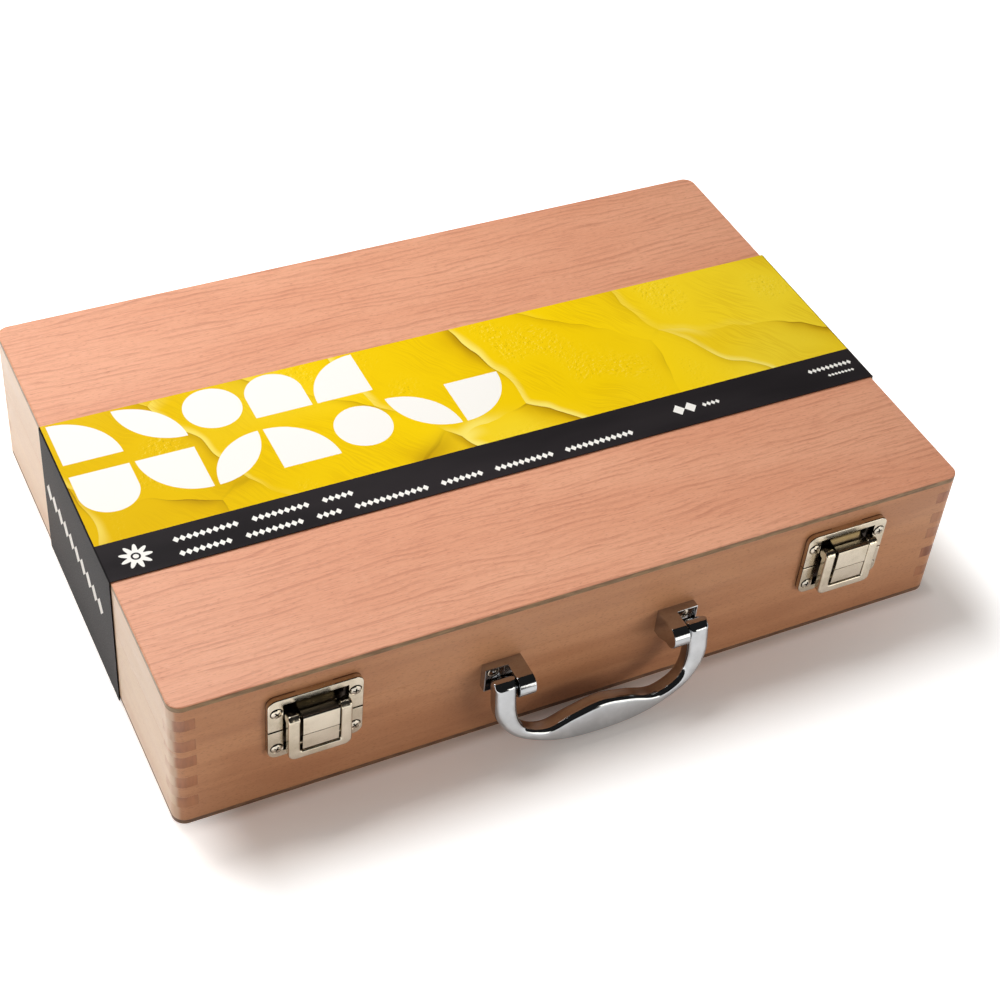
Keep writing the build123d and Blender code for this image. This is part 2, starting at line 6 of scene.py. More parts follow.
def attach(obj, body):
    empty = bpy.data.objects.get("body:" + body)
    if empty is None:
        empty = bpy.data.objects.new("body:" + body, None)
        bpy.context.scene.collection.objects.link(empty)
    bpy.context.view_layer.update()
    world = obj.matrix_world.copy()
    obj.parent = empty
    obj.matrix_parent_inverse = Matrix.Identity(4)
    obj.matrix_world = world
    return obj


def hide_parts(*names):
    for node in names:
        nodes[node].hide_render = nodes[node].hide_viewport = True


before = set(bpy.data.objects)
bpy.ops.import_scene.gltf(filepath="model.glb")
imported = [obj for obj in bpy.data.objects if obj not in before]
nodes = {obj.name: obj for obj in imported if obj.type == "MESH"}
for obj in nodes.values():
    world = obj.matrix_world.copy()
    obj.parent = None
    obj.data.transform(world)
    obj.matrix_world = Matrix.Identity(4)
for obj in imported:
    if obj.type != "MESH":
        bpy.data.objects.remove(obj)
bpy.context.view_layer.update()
mm = 0.001
print("frame loaded:", len(nodes), "nodes")

# places shared with the solid model, in millimetres
case = {"length": 385.0, "width": 257.6, "height": 75.5, "parting": 46.6, "panel": 3.0}
frontFace = -case["width"] / 2
backFace = case["width"] / 2
latchPlaces = {"left": -131.0, "right": 131.0}


def placed(name, data):
    item = bpy.data.objects.new(name, data)
    bpy.context.scene.collection.objects.link(item)
    return item


def baked(item):
    # the object's mesh with its modifiers made plain
    bpy.context.view_layer.update()
    return bpy.data.meshes.new_from_object(item.evaluated_get(bpy.context.evaluated_depsgraph_get()))


# camera, with its angles in radians and its distances in metres

cameraSet = {
    "focal": 1963.37352, "imageWidth": 1000, "sensor": 36, "nearest": 0.01,
    "azimuth": -0.51911424, "elevation": 0.756246974, "roll": 0.104586347,
    "distance": 0.980254, "aside": 0.0192020, "above": 0.0078222,
}


def placeCamera(s):
    az, el, roll = s["azimuth"], s["elevation"], s["roll"]
    back = Vector((sin(az) * cos(el), -cos(az) * cos(el), sin(el)))
    level = Vector((cos(az), sin(az), 0))
    upright = back.cross(level)
    right = level * cos(roll) + upright * sin(roll)
    up = upright * cos(roll) - level * sin(roll)
    data = bpy.data.cameras.new("studioCamera")
    data.sensor_width = s["sensor"]
    data.lens = s["focal"] * s["sensor"] / s["imageWidth"]
    data.clip_start = s["nearest"]
    camera = placed("studioCamera", data)
    turn = Matrix((right, up, back)).transposed().to_4x4()
    place = back * s["distance"] + right * s["aside"] + up * s["above"]
    camera.matrix_world = Matrix.Translation(place) @ turn
    bpy.context.scene.camera = camera


placeCamera(cameraSet)
print("camera placed")


# node helpers

def paint(red, green, blue):
    def toLinear(value):
        value = value / 255
        return value / 12.92 if value <= 0.04045 else ((value + 0.055) / 1.055) ** 2.4
    return (toLinear(red), toLinear(green), toLinear(blue), 1.0)


class Wiring:
    # a node tree that is written one node to a line
    def __init__(self, tree):
        self.tree = tree

    def add(self, kind, **values):
        # capitalised names are sockets, the others are the node's own settings
        node = self.tree.nodes.new(kind)
        for key, value in values.items():
            if key[0].islower():
                setattr(node, key, value)
        for key, value in values.items():
            if key[0].isupper():
                self.fill(node, key.replace("_", " "), value)
        return node

    def fill(self, node, key, value):
        socket = node.inputs[key]
        if isinstance(value, bpy.types.NodeSocket):
            self.tree.links.new(value, socket)
        else:
            socket.default_value = value

    def math(self, kind, *values, node="ShaderNodeMath"):
        node = self.add(node, operation=kind)
        for index, value in enumerate(values):
            self.fill(node, index, value)
        return node.outputs[0]

    def vector(self, kind, *values):
        return self.math(kind, *values, node="ShaderNodeVectorMath")

    def inTurn(self, kind, values):
        found = values[0]
        for value in values[1:]:
            found = self.math(kind, found, value)
        return found

    def times(self, *values):
        return self.inTurn("MULTIPLY", values)

    def plus(self, *values):
        return self.inTurn("ADD", values)

    def most(self, *values):
        return self.inTurn("MAXIMUM", values)

    def least(self, *values):
        return self.inTurn("MINIMUM", values)

    def minus(self, first, second):
        return self.math("SUBTRACT", first, second)

    def size(self, value):
        return self.math("ABSOLUTE", value)

    def reach(self, across, up):
        return self.math("SQRT", self.plus(self.times(across, across), self.times(up, up)))

    def parts(self, vector):
        return self.add("ShaderNodeSeparateXYZ", Vector=vector).outputs

    def point(self, x, y, z=0.0):
        return self.add("ShaderNodeCombineXYZ", X=x, Y=y, Z=z).outputs[0]

    def blend(self, amount, first, second):
        node = self.add("ShaderNodeMix", data_type="RGBA")
        for index, value in ((0, amount), (6, first), (7, second)):
            self.fill(node, index, value)
        return node.outputs[2]

    def coats(self, colour, *layers):
        # each layer is how much of it covers the rest, and its colour
        for amount, shade in layers:
            colour = self.blend(amount, colour, shade)
        return colour


class Recipe(Wiring):
    # a material of its own
    def __init__(self, name):
        self.material = bpy.data.materials.new(name)
        self.material.use_nodes = True
        super().__init__(self.material.node_tree)
        self.shader = self.tree.nodes["Principled BSDF"]
        self.coordinates = self.add("ShaderNodeTexCoord").outputs
        self.spot = self.coordinates["Object"]

    def axis(self, letter, source=None):
        return self.parts(source or self.spot)["XYZ".index(letter)]

    def facing(self, letter):
        return self.axis(letter, self.coordinates["Normal"])

    def stretch(self, scale, turn=(0, 0, 0), shift=(0, 0, 0), source=None):
        values = {"Vector": source or self.spot, "Scale": scale, "Rotation": turn, "Location": shift}
        return self.add("ShaderNodeMapping", **values).outputs[0]

    def noise(self, scale, detail=1.0, rough=0.5, bend=0.0, **where):
        values = {"Scale": 1.0, "Detail": detail, "Roughness": rough, "Distortion": bend}
        return self.add("ShaderNodeTexNoise", Vector=self.stretch(scale, **where), **values).outputs["Fac"]

    def ramp(self, value, low, high, outLow=0.0, outHigh=1.0):
        node = self.add("ShaderNodeMapRange", interpolation_type="SMOOTHSTEP")
        for index, item in enumerate((value, low, high, outLow, outHigh)):
            self.fill(node, index, item)
        return node.outputs[0]

    def shadeRamp(self, value, stops):
        node = self.add("ShaderNodeValToRGB", Fac=value)
        steps = node.color_ramp.elements
        while len(steps) < len(stops):
            steps.new(0.5)
        for step, (place, colour) in zip(steps, stops):
            step.position = place
            step.color = colour
        return node.outputs[0]

    def bump(self, height, distance, strength=0.5):
        return self.add("ShaderNodeBump", Height=height, Distance=distance, Strength=strength).outputs[0]

    def finish(self, **values):
        for key, value in values.items():
            self.fill(self.shader, key.replace("_", " "), value)
        return self.material


# wood

woodSet = {
    "veneer": paint(231, 162, 128), "veneerPale": paint(238, 173, 139), "veneerLine": paint(186, 114, 86),
    "poreDark": paint(176, 108, 82), "poreLight": paint(250, 204, 178),
    "ringsPerMetre": 300.0, "sway": 8.0, "waver": 1.7, "lineDepth": 0.42,
    # walls: pale, middle and dark on the face, then dark and light on the end grain
    "front": (paint(217, 156, 113), paint(202, 140, 98), paint(154, 93, 58)),
    # the end boards, and the finger ends that show on their faces, are painted paler than the front boards:
    # painted light and sheen from the lamp on the left, the beech being the same
    "side": (paint(233, 205, 177), paint(226, 194, 164), paint(204, 165, 136)),
    "frontEnd": (paint(204, 160, 130), paint(224, 188, 160)),
    "sideEnd": (paint(144, 86, 58), paint(184, 118, 82)),
    # the foot shade darkens each wall towards the floor: painted shade
    "knot": paint(96, 56, 40), "footShade": {"front": 0.26, "side": 0.08}, "footHigh": 0.045,
    # rim of the plywood: pitch of the plies, then how far the face veneers reach over it, in metres
    "plyLight": paint(170, 138, 100), "plyDark": paint(136, 106, 74), "plyGlue": paint(100, 74, 52),
    "plyPitch": 0.001, "outerSkin": (0.0003, 0.0005), "innerSkin": (0.00005, 0.00015),
    "gloss": 0.42,
}
# the base's plies are painted darker than the lid's, though the plywood is the same: painted shade along its rim
# at the floor
shadedBaseSet = {
    **woodSet, "plyLight": paint(136, 104, 78), "plyDark": paint(104, 76, 56), "plyGlue": paint(76, 54, 40),
}


def woodGloss(r, grain, s):
    return r.ramp(grain, 0.3, 0.7, s["gloss"] - 0.04, s["gloss"] + 0.08)


def veneerMaterial(name, s, low, high, outerIsTop):
    # thin panel: face veneer on both sides, plies showing round the rim
    r = Recipe(name)
    sway, waver = r.noise((5, 16, 1), 2.0), r.noise((38, 55, 1))
    bent = r.plus(r.times(sway, s["sway"]), r.times(waver, s["waver"]))
    ring = r.math("FRACT", r.plus(r.times(r.axis("Y"), s["ringsPerMetre"]), bent))
    breaks = r.noise((22, 250, 1), 2.0, turn=(0, 0, 0.01))
    line = r.times(r.ramp(ring, 0.25, 0.82), r.ramp(ring, 0.9, 1.0, 1.0, 0.0))
    line = r.times(line, r.ramp(breaks, 0.4, 0.66, 0.08, 1.0))
    fibres = r.noise((70, 1500, 1), 2.0, turn=(0, 0, 0.03))
    pores = r.noise((330, 2700, 1), turn=(0, 0, 0.02))
    tone = r.noise((7, 30, 1), 2.0)
    height = r.axis("Z")
    core = r.noise((130, 130, 700), 3.0, 0.6)
    layer = r.math("FRACT", r.times(r.minus(height, low), 1 / s["plyPitch"]))
    glue = r.times(r.ramp(layer, 0.8, 0.92), 0.3)
    plies = r.coats(s["plyDark"], (r.ramp(core, 0.35, 0.65), s["plyLight"]), (glue, s["plyGlue"]))
    upper, lower = (s["outerSkin"], s["innerSkin"]) if outerIsTop else (s["innerSkin"], s["outerSkin"])
    rim = r.times(
        r.ramp(height, high - upper[1], high - upper[0], 1.0, 0.0), r.ramp(height, low + lower[0], low + lower[1]),
    )
    colour = r.coats(
        s["veneer"], (r.ramp(tone, 0.3, 0.7), s["veneerPale"]), (r.times(line, s["lineDepth"]), s["veneerLine"]),
        (r.ramp(fibres, 0.48, 0.74, 0.0, 0.36), s["veneerLine"]),
        (r.ramp(pores, 0.6, 0.74, 0.0, 0.5), s["poreDark"]),
        (r.ramp(pores, 0.26, 0.38, 0.25, 0.0), s["poreLight"]), (rim, plies),
    )
    relief = r.bump(r.minus(1.0, r.plus(r.times(line, 0.5), fibres, r.times(pores, 0.6))), 0.00005)
    return r.finish(Base_Color=colour, Roughness=woodGloss(r, pores, s), Specular_IOR_Level=0.36, Normal=relief)


def beechMaterial(name, s, board, neighbour):
    # solid wall board: flecked face grain, darker end grain where its fingers come through
    r = Recipe(name)
    pale, middle, dark = s[board]
    endDark, endLight = s[board + "End"]
    along = r.stretch((1, 1, 1), turn=(0, 0, pi / 2 if board == "side" else 0))
    lines = r.noise((7, 150, 150), 2.0, bend=0.3, source=along)
    broad = r.noise((9, 34, 34), 2.0, bend=0.8, turn=(0, 0.45, 0.2), source=along)
    flecks = r.noise((520, 1500, 1500), 1.0, 0.6, turn=(0, 0.3, 0), source=along)
    pinholes = r.noise((700, 2600, 2600), source=along)
    grain = r.plus(r.times(lines, 0.45), r.times(broad, 0.55))
    knotSpot = r.stretch((13, 31, 31), shift=(0.36, 0, 0.62), source=along)
    knots = r.add("ShaderNodeTexVoronoi", Vector=knotSpot, Scale=1.0).outputs["Distance"]
    # darker towards the floor: painted shade
    foot = r.ramp(r.axis("Z"), 0.0, s["footHigh"], s["footShade"][board], 0.0)
    colour = r.coats(
        middle, (r.ramp(grain, 0.4, 0.6), pale), (r.ramp(flecks, 0.52, 0.74, 0.0, 0.3), dark),
        (r.ramp(pinholes, 0.62, 0.74, 0.0, 0.2), dark), (foot, dark),
        (r.ramp(knots, 0.02, 0.05, 0.5, 0.0), s["knot"]),
    )
    rings = r.noise((260, 260, 60), 3.0, 0.6, turn=(0.3, 0, 0.4))
    endGrain = r.blend(r.ramp(rings, 0.34, 0.64), endDark, endLight)
    # some fingers hardly differ from the board that they meet, the left ones least
    contrast = r.ramp(r.noise((3, 3, 75), shift=(0.2, 0.1, 0.37)), 0.36, 0.6, 0.35, 0.95)
    contrast = r.times(contrast, r.ramp(r.axis("X"), -0.18, 0.18, 0.75, 1.0))
    endGrain = r.blend(contrast, s[neighbour][1], endGrain)
    turned = r.size(r.facing("Y" if board == "side" else "X"))
    colour = r.blend(r.ramp(turned, 0.5, 0.8), colour, endGrain)
    pores = r.bump(r.minus(r.times(lines, 0.4), flecks), 0.00006)
    return r.finish(Base_Color=colour, Roughness=woodGloss(r, lines, s), Normal=pores)


def dividerMaterial():
    # pale softwood strip with long grain
    r = Recipe("dividerWood")
    lines = r.noise((9, 9, 420), 3.0, 0.6, 0.3)
    hairs = r.noise((60, 60, 2600), 2.0)
    grain = r.plus(r.times(lines, 0.75), r.times(hairs, 0.25))
    stops = [(0.32, paint(196, 158, 112)), (0.5, paint(222, 190, 146)), (0.66, paint(236, 210, 172))]
    rough = r.ramp(hairs, 0.3, 0.7, 0.5, 0.62)
    return r.finish(Base_Color=r.shadeRamp(grain, stops), Roughness=rough, Normal=r.bump(grain, 0.0001))


def dress(names, material):
    for name in names:
        if not nodes[name].material_slots:
            nodes[name].data.materials.append(material)
        for item in nodes[name].material_slots:
            item.material = material


lidUnderside = (case["height"] - case["panel"]) * mm
dress(["lid_top_panel"], veneerMaterial("lidVeneer", woodSet, lidUnderside, case["height"] * mm, True))
dress(["base_bottom_panel"], veneerMaterial("baseVeneer", shadedBaseSet, 0.0, case["panel"] * mm, False))
for name, board, neighbour, sides in (
    ("longBeech", "front", "side", ("front", "back")), ("endBeech", "side", "front", ("left", "right")),
):
    walls = [part + side + "_wall" for part in ("base_", "lid_") for side in sides]
    dress(walls, beechMaterial(name, woodSet, board, neighbour))
dress(["divider_long", "divider_cross_1", "divider_cross_2"], dividerMaterial())
print("wood dressed")


# metal

metalSet = {
    # light, shade, roughness and how far wear raises it
    "nickel": (paint(212, 202, 184), paint(196, 185, 164), 0.2, 0.06),
    "chrome": (paint(188, 190, 192), paint(176, 178, 180), 0.06, 0.04),
    "steel": (paint(196, 190, 178), paint(176, 168, 152), 0.3, 0.1),
    "screw": (paint(212, 202, 184), paint(196, 190, 178), 0.16, 0.08),
    # the next three colours are painted shade and painted dark reflection on the latches, the link and the screws
    "paintedDark": paint(44, 36, 32), "olive": paint(212, 203, 172), "oliveDark": paint(84, 66, 56),
}

# where painted shade and painted dark reflections on the latches start and end, in millimetres: across from the
# middle, up, or out of the wall
latchShadeSet = {
    "tongueSide": (8.2, 8.32), "tongueFoot": (58.1, 58.3), "tongueCurve": (58.4, 62.6),
    "channelSide": (14.64, 14.7), "channelTop": (62.32, 62.4), "channelFoot": (33.3, 33.36),
    "channelFloorShade": (1.2, 2.7), "wallLineShade": (0.1, 1.0), "edgeDarkReflection": (2.1, 2.8),
    "tabFoot": (56.6, 57.2), "tabLeft": 0.9, "tabRight": 0.5,
}


def metalMaterial(name, s, metal):
    # plated sheet: cloudy tone and fine scratches
    r = Recipe(name)
    light, shade, gloss, wear = s[metal]
    cloud = r.noise((90, 90, 90), 3.0, 0.6)
    scratch = r.noise((240, 5200, 5200), 2.0, 0.7, turn=(0.2, 0.5, 0.3))
    colour = r.blend(r.ramp(cloud, 0.35, 0.7), light, shade)
    rough = r.plus(r.ramp(cloud, 0.3, 0.7, gloss, gloss + wear), r.ramp(scratch, 0.6, 0.75, 0.0, wear))
    dents = r.bump(r.noise((420, 420, 420)), 0.00002, 0.35)
    r.finish(Base_Color=colour, Metallic=1.0, Roughness=rough, Normal=dents)
    return r, colour


def latchPlateMaterial(s, shadeSpans):
    # the pressed channel is painted black, and the plate dark along the wall and on its side edges: painted shade
    # and painted dark reflection; its tongue stays bright, painted olive going to dark brown at its foot as
    # painted reflection and shade
    r, colour = metalMaterial("latchPlates", s, "nickel")
    up = r.axis("Z")
    out = r.minus(r.times(r.axis("Y"), -1.0), -frontFace * mm)
    aside = r.size(r.minus(r.size(r.axis("X")), latchPlaces["right"] * mm))

    def span(value, key, first=0.0, last=1.0):
        return r.ramp(value, shadeSpans[key][0] * mm, shadeSpans[key][1] * mm, first, last)

    tongue = r.times(span(aside, "tongueSide", 1.0, 0.0), span(up, "tongueFoot"))
    inside = r.times(span(aside, "channelSide", 1.0, 0.0), span(up, "channelTop", 1.0, 0.0))
    inside = r.times(inside, span(up, "channelFoot"))
    frontward = r.times(r.facing("Y"), -1.0)
    # painted shade in the channel and along the wall, painted dark reflection on the edges that face away from the
    # front
    paintedShade = r.most(
        r.times(inside, span(out, "channelFloorShade", 0.97, 0.0)), span(out, "wallLineShade", 0.9, 0.0),
        r.times(r.ramp(frontward, 0.3, 0.7, 1.0, 0.0), span(out, "edgeDarkReflection", 0.0, 0.9)),
    )
    colour = r.blend(r.times(paintedShade, r.minus(1.0, tongue)), colour, s["paintedDark"])
    # the tongue goes from olive to dark brown towards its foot, under the tab: painted reflection and shade
    curve = span(up, "tongueCurve", 1.0, 0.0)
    tongueTone = r.blend(r.ramp(curve, 0.55, 1.0, 0.0, 0.8), s["olive"], s["oliveDark"])
    return r.finish(Base_Color=r.blend(r.times(tongue, r.ramp(curve, 0.0, 0.35)), colour, tongueTone))


def linkMaterial(s, shadeSpans):
    # the top of the tab over the catch, where it faces up, is painted almost black, less so on the right latch: a
    # painted dark reflection
    r, colour = metalMaterial("linkPlate", s, "nickel")
    foot, head = shadeSpans["tabFoot"]
    tab = r.times(r.ramp(r.facing("Z"), 0.3, 0.7), r.ramp(r.axis("Z"), foot * mm, head * mm))
    paintedReflection = r.times(tab, r.ramp(r.axis("X"), -0.05, 0.05, shadeSpans["tabLeft"], shadeSpans["tabRight"]))
    return r.finish(Base_Color=r.blend(paintedReflection, colour, s["paintedDark"]))


def screwMaterial(s):
    # "lift" is the height on the head: the cross and the rim below it are painted dark, as painted shade
    r, colour = metalMaterial("screwSteel", s, "screw")
    lift = r.add("ShaderNodeAttribute", attribute_name="lift").outputs["Fac"]
    return r.finish(Base_Color=r.blend(r.ramp(lift, 0.06, 0.15, 0.95, 0.0), colour, s["paintedDark"]))


nickel = metalMaterial("nickelPlate", metalSet, "nickel")[0].material
chrome = metalMaterial("chromePlate", metalSet, "chrome")[0].material
hingeSteel = metalMaterial("hingeSteel", metalSet, "steel")[0].material
linkPlate = linkMaterial(metalSet, latchShadeSet)
screwSteel = screwMaterial(metalSet)
latchPlates = latchPlateMaterial(metalSet, latchShadeSet)
for side in ("left", "right"):
    dress([f"latch_{side}_lower_plate", f"latch_{side}_upper_plate"], latchPlates)
    dress([f"latch_{side}_lever_pin", f"latch_{side}_link_pin"], nickel)
    dress([f"handle_{side}_pin"], chrome)
    dress([f"hinge_{side}_{part}" for part in ("lower_leaf", "upper_leaf", "pin")], hingeSteel)
print("metal dressed")


# mesh helpers

def finishPiece(name, body, mesh, material, replaced, smoothAngle, evenShade=False):
    # evenShade keeps flat faces flat up to their bevels
    mesh.materials.clear()
    mesh.materials.append(material)
    piece = placed(name, mesh)
    for face in mesh.polygons:
        face.use_smooth = True
    mesh.set_sharp_from_angle(angle=radians(smoothAngle))
    if evenShade:
        shade = piece.modifiers.new("shade", "WEIGHTED_NORMAL")
        shade.weight, shade.keep_sharp = 80, True
        piece.data = baked(piece)
        piece.modifiers.clear()
    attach(piece, body)
    if replaced:
        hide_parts(*replaced)


def meshFrom(work, name):
    bmesh.ops.remove_doubles(work, verts=work.verts, dist=1e-7)
    bmesh.ops.recalc_face_normals(work, faces=work.faces)
    mesh = bpy.data.meshes.new(name)
    work.to_mesh(mesh)
    work.free()
    return mesh


def bevelled(mesh, width, segments, angle):
    holder = placed("holder", mesh)
    edge = holder.modifiers.new("edge", "BEVEL")
    edge.width = width * mm
    edge.segments = segments
    edge.limit_method = "ANGLE"
    edge.angle_limit = radians(angle)
    edge.harden_normals = False
    ready = baked(holder)
    bpy.data.objects.remove(holder)
    return ready


def united(meshes):
    # overlapping closed skins become one closed skin
    holders = [placed("part", mesh) for mesh in meshes]
    for extra in holders[1:]:
        union = holders[0].modifiers.new("union", "BOOLEAN")
        union.operation, union.solver, union.object = "UNION", "EXACT", extra
    mesh = baked(holders[0])
    for holder in holders:
        bpy.data.objects.remove(holder)
    work = bmesh.new()
    work.from_mesh(mesh)
    bmesh.ops.dissolve_limit(work, angle_limit=radians(1), verts=work.verts, edges=work.edges)
    return meshFrom(work, "united")


def gathered(meshes):
    # closed skins that reach into each other, in one mesh
    work = bmesh.new()
    for mesh in meshes:
        work.from_mesh(mesh)
    return meshFrom(work, "gathered")


def roundedSection(width, depth, frontRound, backRound, steps):
    # closed loop of (across, out): a box section with rounded corners
    points = []
    corners = [
        (width / 2, depth, frontRound, 0.0), (-width / 2, depth, frontRound, pi / 2),
        (-width / 2, 0.0, backRound, pi), (width / 2, 0.0, backRound, 3 * pi / 2),
    ]
    for across, out, turn, start in corners:
        turn = min(turn, width / 2 * 0.98)  # the two corners of a side never quite meet
        centreX = across - turn if across > 0 else across + turn
        centreY = out - turn if out > 0 else turn
        points += arc(centreX, centreY, turn, start, start + pi / 2, steps)
    return points


def faceStrip(work, first, second):
    # quads between two closed loops of vertices
    for index in range(len(first)):
        after = (index + 1) % len(first)
        work.faces.new((first[index], first[after], second[after], second[index]))


def sweepBar(work, stations, place):
    # stations are (inner point, outer point, section loop); place turns (x, y, out) into 3-D
    rings = []
    for inner, outer, section in stations:
        innerPoint, outerPoint = Vector(inner), Vector(outer)
        middle = (innerPoint + outerPoint) / 2
        across = (outerPoint - innerPoint).normalized()
        spots = [(middle + across * side, out) for side, out in section]
        rings.append([work.verts.new(place(spot.x, spot.y, out)) for spot, out in spots])
    for first, second in zip(rings, rings[1:]):
        faceStrip(work, first, second)
    work.faces.new(rings[0])
    work.faces.new(list(reversed(rings[-1])))


def extrudeAcross(work, outline, low, high, place):
    # outline is (out, up) points; the prism runs along X from low to high
    left = [work.verts.new(place(low, up, out)) for out, up in outline]
    right = [work.verts.new(place(high, up, out)) for out, up in outline]
    work.faces.new(left)
    work.faces.new(list(reversed(right)))
    faceStrip(work, left, right)


def frontPlace(middle):
    # (x from the middle, height, distance out of the front wall) in millimetres
    return lambda x, up, out: Vector(((middle + x) * mm, (frontFace - out) * mm, up * mm))


def arc(centreX, centreY, radius, start, end, steps):
    angles = [start + (end - start) * step / steps for step in range(steps + 1)]
    return [(centreX + radius * cos(angle), centreY + radius * sin(angle)) for angle in angles]


def flipped(point):
    return (-point[0], point[1])


def hullOutline(circles, steps=64):
    # convex outline round several circles (x, y, radius)
    points = [point for x, y, radius in circles for point in arc(x, y, radius, 0, 2 * pi, steps)[:-1]]
    points = sorted(set((round(x, 5), round(y, 5)) for x, y in points))

    def half(row):
        chain = []
        for point in row:
            while len(chain) > 1:
                ax, ay = chain[-1][0] - chain[-2][0], chain[-1][1] - chain[-2][1]
                bx, by = point[0] - chain[-2][0], point[1] - chain[-2][1]
                if ax * by - ay * bx > 1e-9:
                    break
                chain.pop()
            chain.append(point)
        return chain[:-1]
    return half(points) + half(reversed(points))


# draw latches

latchSet = {
    # lever: a bar down, across and up again
    "leverWidth": 28.4, "leverLow": 32.0, "leverHigh": 55.4, "barWidth": 5.2, "barHeight": 4.4,
    "back": 5.2, "front": 8.8, "frontRound": 1.0, "backRound": 0.25,
    "outerCorner": 3.2, "innerCorner": 1.0, "cornerSteps": 8, "sectionSteps": 5, "legStops": (51.4, 40.0),
    # its shoulders, each from a cheek and a face; the nudge keeps their skins apart
    "pivotOut": 4.8, "pivotUp": 55.2, "eye": 2.4, "shoulder": 2.5, "flange": 3.1,
    "hook": 0.9, "hookDrop": 1.0, "cheekRound": 0.9, "shoulderRound": 0.7, "nudge": 0.03,
    # draw link
    "linkWidth": 16.2, "linkLow": 37.7, "linkStep": 47.15, "linkHigh": 57.9, "linkSheet": 1.0,
    "linkFront": 9.25, "linkStepDepth": 0.2, "linkGroove": 0.6, "linkGrooveDepth": 0.7, "linkTilt": 0.35,
    "linkBend": 0.8, "linkEdge": 0.14, "tabBack": 4.9, "barrelOut": 6.8, "barrelUp": 40.6, "barrel": 1.6,
}


def leverMesh(middle, s):
    # one pressed bar down, across and up again, with a rolled shoulder at each top
    work = bmesh.new()
    place = frontPlace(middle)
    halfWidth, depth, high, low = s["leverWidth"] / 2, s["front"] - s["back"], s["leverHigh"], s["leverLow"]
    windowHalf, windowLow = halfWidth - s["barWidth"], low + s["barHeight"]

    def corner(half, foot, turn):
        return arc(-half + turn, foot + turn, turn, pi, 1.5 * pi, s["cornerSteps"])

    left = [((-windowHalf, up), (-halfWidth, up)) for up in (high, *s["legStops"])]
    left += zip(corner(windowHalf, windowLow, s["innerCorner"]), corner(halfWidth, low, s["outerCorner"]))
    right = [(flipped(inner), flipped(outer)) for inner, outer in reversed(left)]
    stations = []
    for inner, outer in left + right:
        section = roundedSection(dist(inner, outer), depth, s["frontRound"], s["backRound"], s["sectionSteps"])
        stations.append((inner, outer, section))
    sweepBar(work, stations, lambda x, y, out: place(x, y, out + s["back"]))
    parts = [meshFrom(work, "bar")]
    top = (s["front"] - s["shoulder"], high)
    cheek = hullOutline([(s["pivotOut"], s["pivotUp"], s["eye"]), (*top, s["shoulder"])])
    hook = (s["back"] + s["hook"], high - s["hookDrop"], s["hook"])
    face = hullOutline([(*top, s["shoulder"] - s["nudge"]), hook])
    sheets = [
        (cheek, s["nudge"], s["flange"], s["cheekRound"]),
        (face, 2 * s["nudge"], s["barWidth"], s["shoulderRound"]),
    ]
    for side in (-1, 1):
        for outline, inset, width, turn in sheets:
            part = bmesh.new()
            edges = sorted((side * (halfWidth - inset), side * (halfWidth - width)))
            extrudeAcross(part, outline, *edges, place)
            parts.append(bevelled(meshFrom(part, "shoulder"), turn, 4, 50))
    return gathered(parts)


def linkMesh(middle, s):
    # stepped cover hooked back over the catch, with its barrel behind
    work = bmesh.new()
    front, sheet, bend = s["linkFront"], s["linkSheet"], s["linkBend"]
    lower, step, high = front - s["linkStepDepth"], s["linkStep"], s["linkHigh"]
    grooveFoot, grooveBack = step - s["linkGroove"], lower - s["linkGrooveDepth"]
    outline = [
        (lower - sheet, s["linkLow"]), (lower - s["linkTilt"], s["linkLow"]), (lower, grooveFoot),
        (grooveBack, grooveFoot), (grooveBack, step), (front, step),
        *arc(front - bend, high - bend, bend, 0, pi / 2, 5),
        (s["tabBack"], high), (s["tabBack"], high - sheet), (front - sheet, high - sheet),
        (front - sheet, step + sheet), (lower - sheet, step + sheet),
    ]
    barrel = arc(s["barrelOut"], s["barrelUp"], s["barrel"], 0, 2 * pi, 24)[:-1]
    for loop in (outline, barrel):
        extrudeAcross(work, loop, -s["linkWidth"] / 2, s["linkWidth"] / 2, frontPlace(middle))
    return bevelled(meshFrom(work, "link"), s["linkEdge"], 2, 25)


for side, middle in latchPlaces.items():
    for name, replaced, mesh, material in (
        ("ring", "lever", leverMesh(middle, latchSet), nickel),
        ("cover", "link", linkMesh(middle, latchSet), linkPlate),
    ):
        kind, body = f"latch_{side}_", f"{replaced}_{side}"
        finishPiece(kind + name, body, mesh, material, [kind + replaced], 30, True)
print("latches made")


# liner strip that closes the joint between lid and base

linerSet = {"low": 46.43, "high": 46.74, "setBack": 0.03, "width": 3.0, "corner": 5.9, "cornerSteps": 6}


def linerMesh(s):
    work = bmesh.new()
    rings = []
    for inset in (s["setBack"], s["setBack"] + s["width"]):
        turn = s["corner"] - inset
        farX, farY = case["length"] / 2 - inset - turn, case["width"] / 2 - inset - turn
        loop = []
        for signX, signY, start in ((1, 1, 0.0), (-1, 1, pi / 2), (-1, -1, pi), (1, -1, 1.5 * pi)):
            loop += arc(signX * farX, signY * farY, turn, start, start + pi / 2, s["cornerSteps"])
        for up in (s["low"], s["high"]):
            rings.append([work.verts.new((x * mm, y * mm, up * mm)) for x, y in loop])
    outLow, outHigh, inLow, inHigh = rings
    for first, second in ((outLow, outHigh), (outHigh, inHigh), (inHigh, inLow), (inLow, outLow)):
        faceStrip(work, first, second)
    return meshFrom(work, "liner")


def linerMaterial(s):
    r = Recipe("linerStrip")
    fibres = r.noise((60, 60, 1500), 3.0)
    colour = r.blend(r.ramp(fibres, 0.35, 0.65), s["front"][1], s["front"][0])
    rough = r.ramp(fibres, 0.3, 0.7, 0.5, 0.65)
    return r.finish(Base_Color=colour, Roughness=rough, Normal=r.bump(fibres, 0.00003))


finishPiece("parting_liner", "case", linerMesh(linerSet), linerMaterial(woodSet), [], 30)
print("liner made")


# bail handle

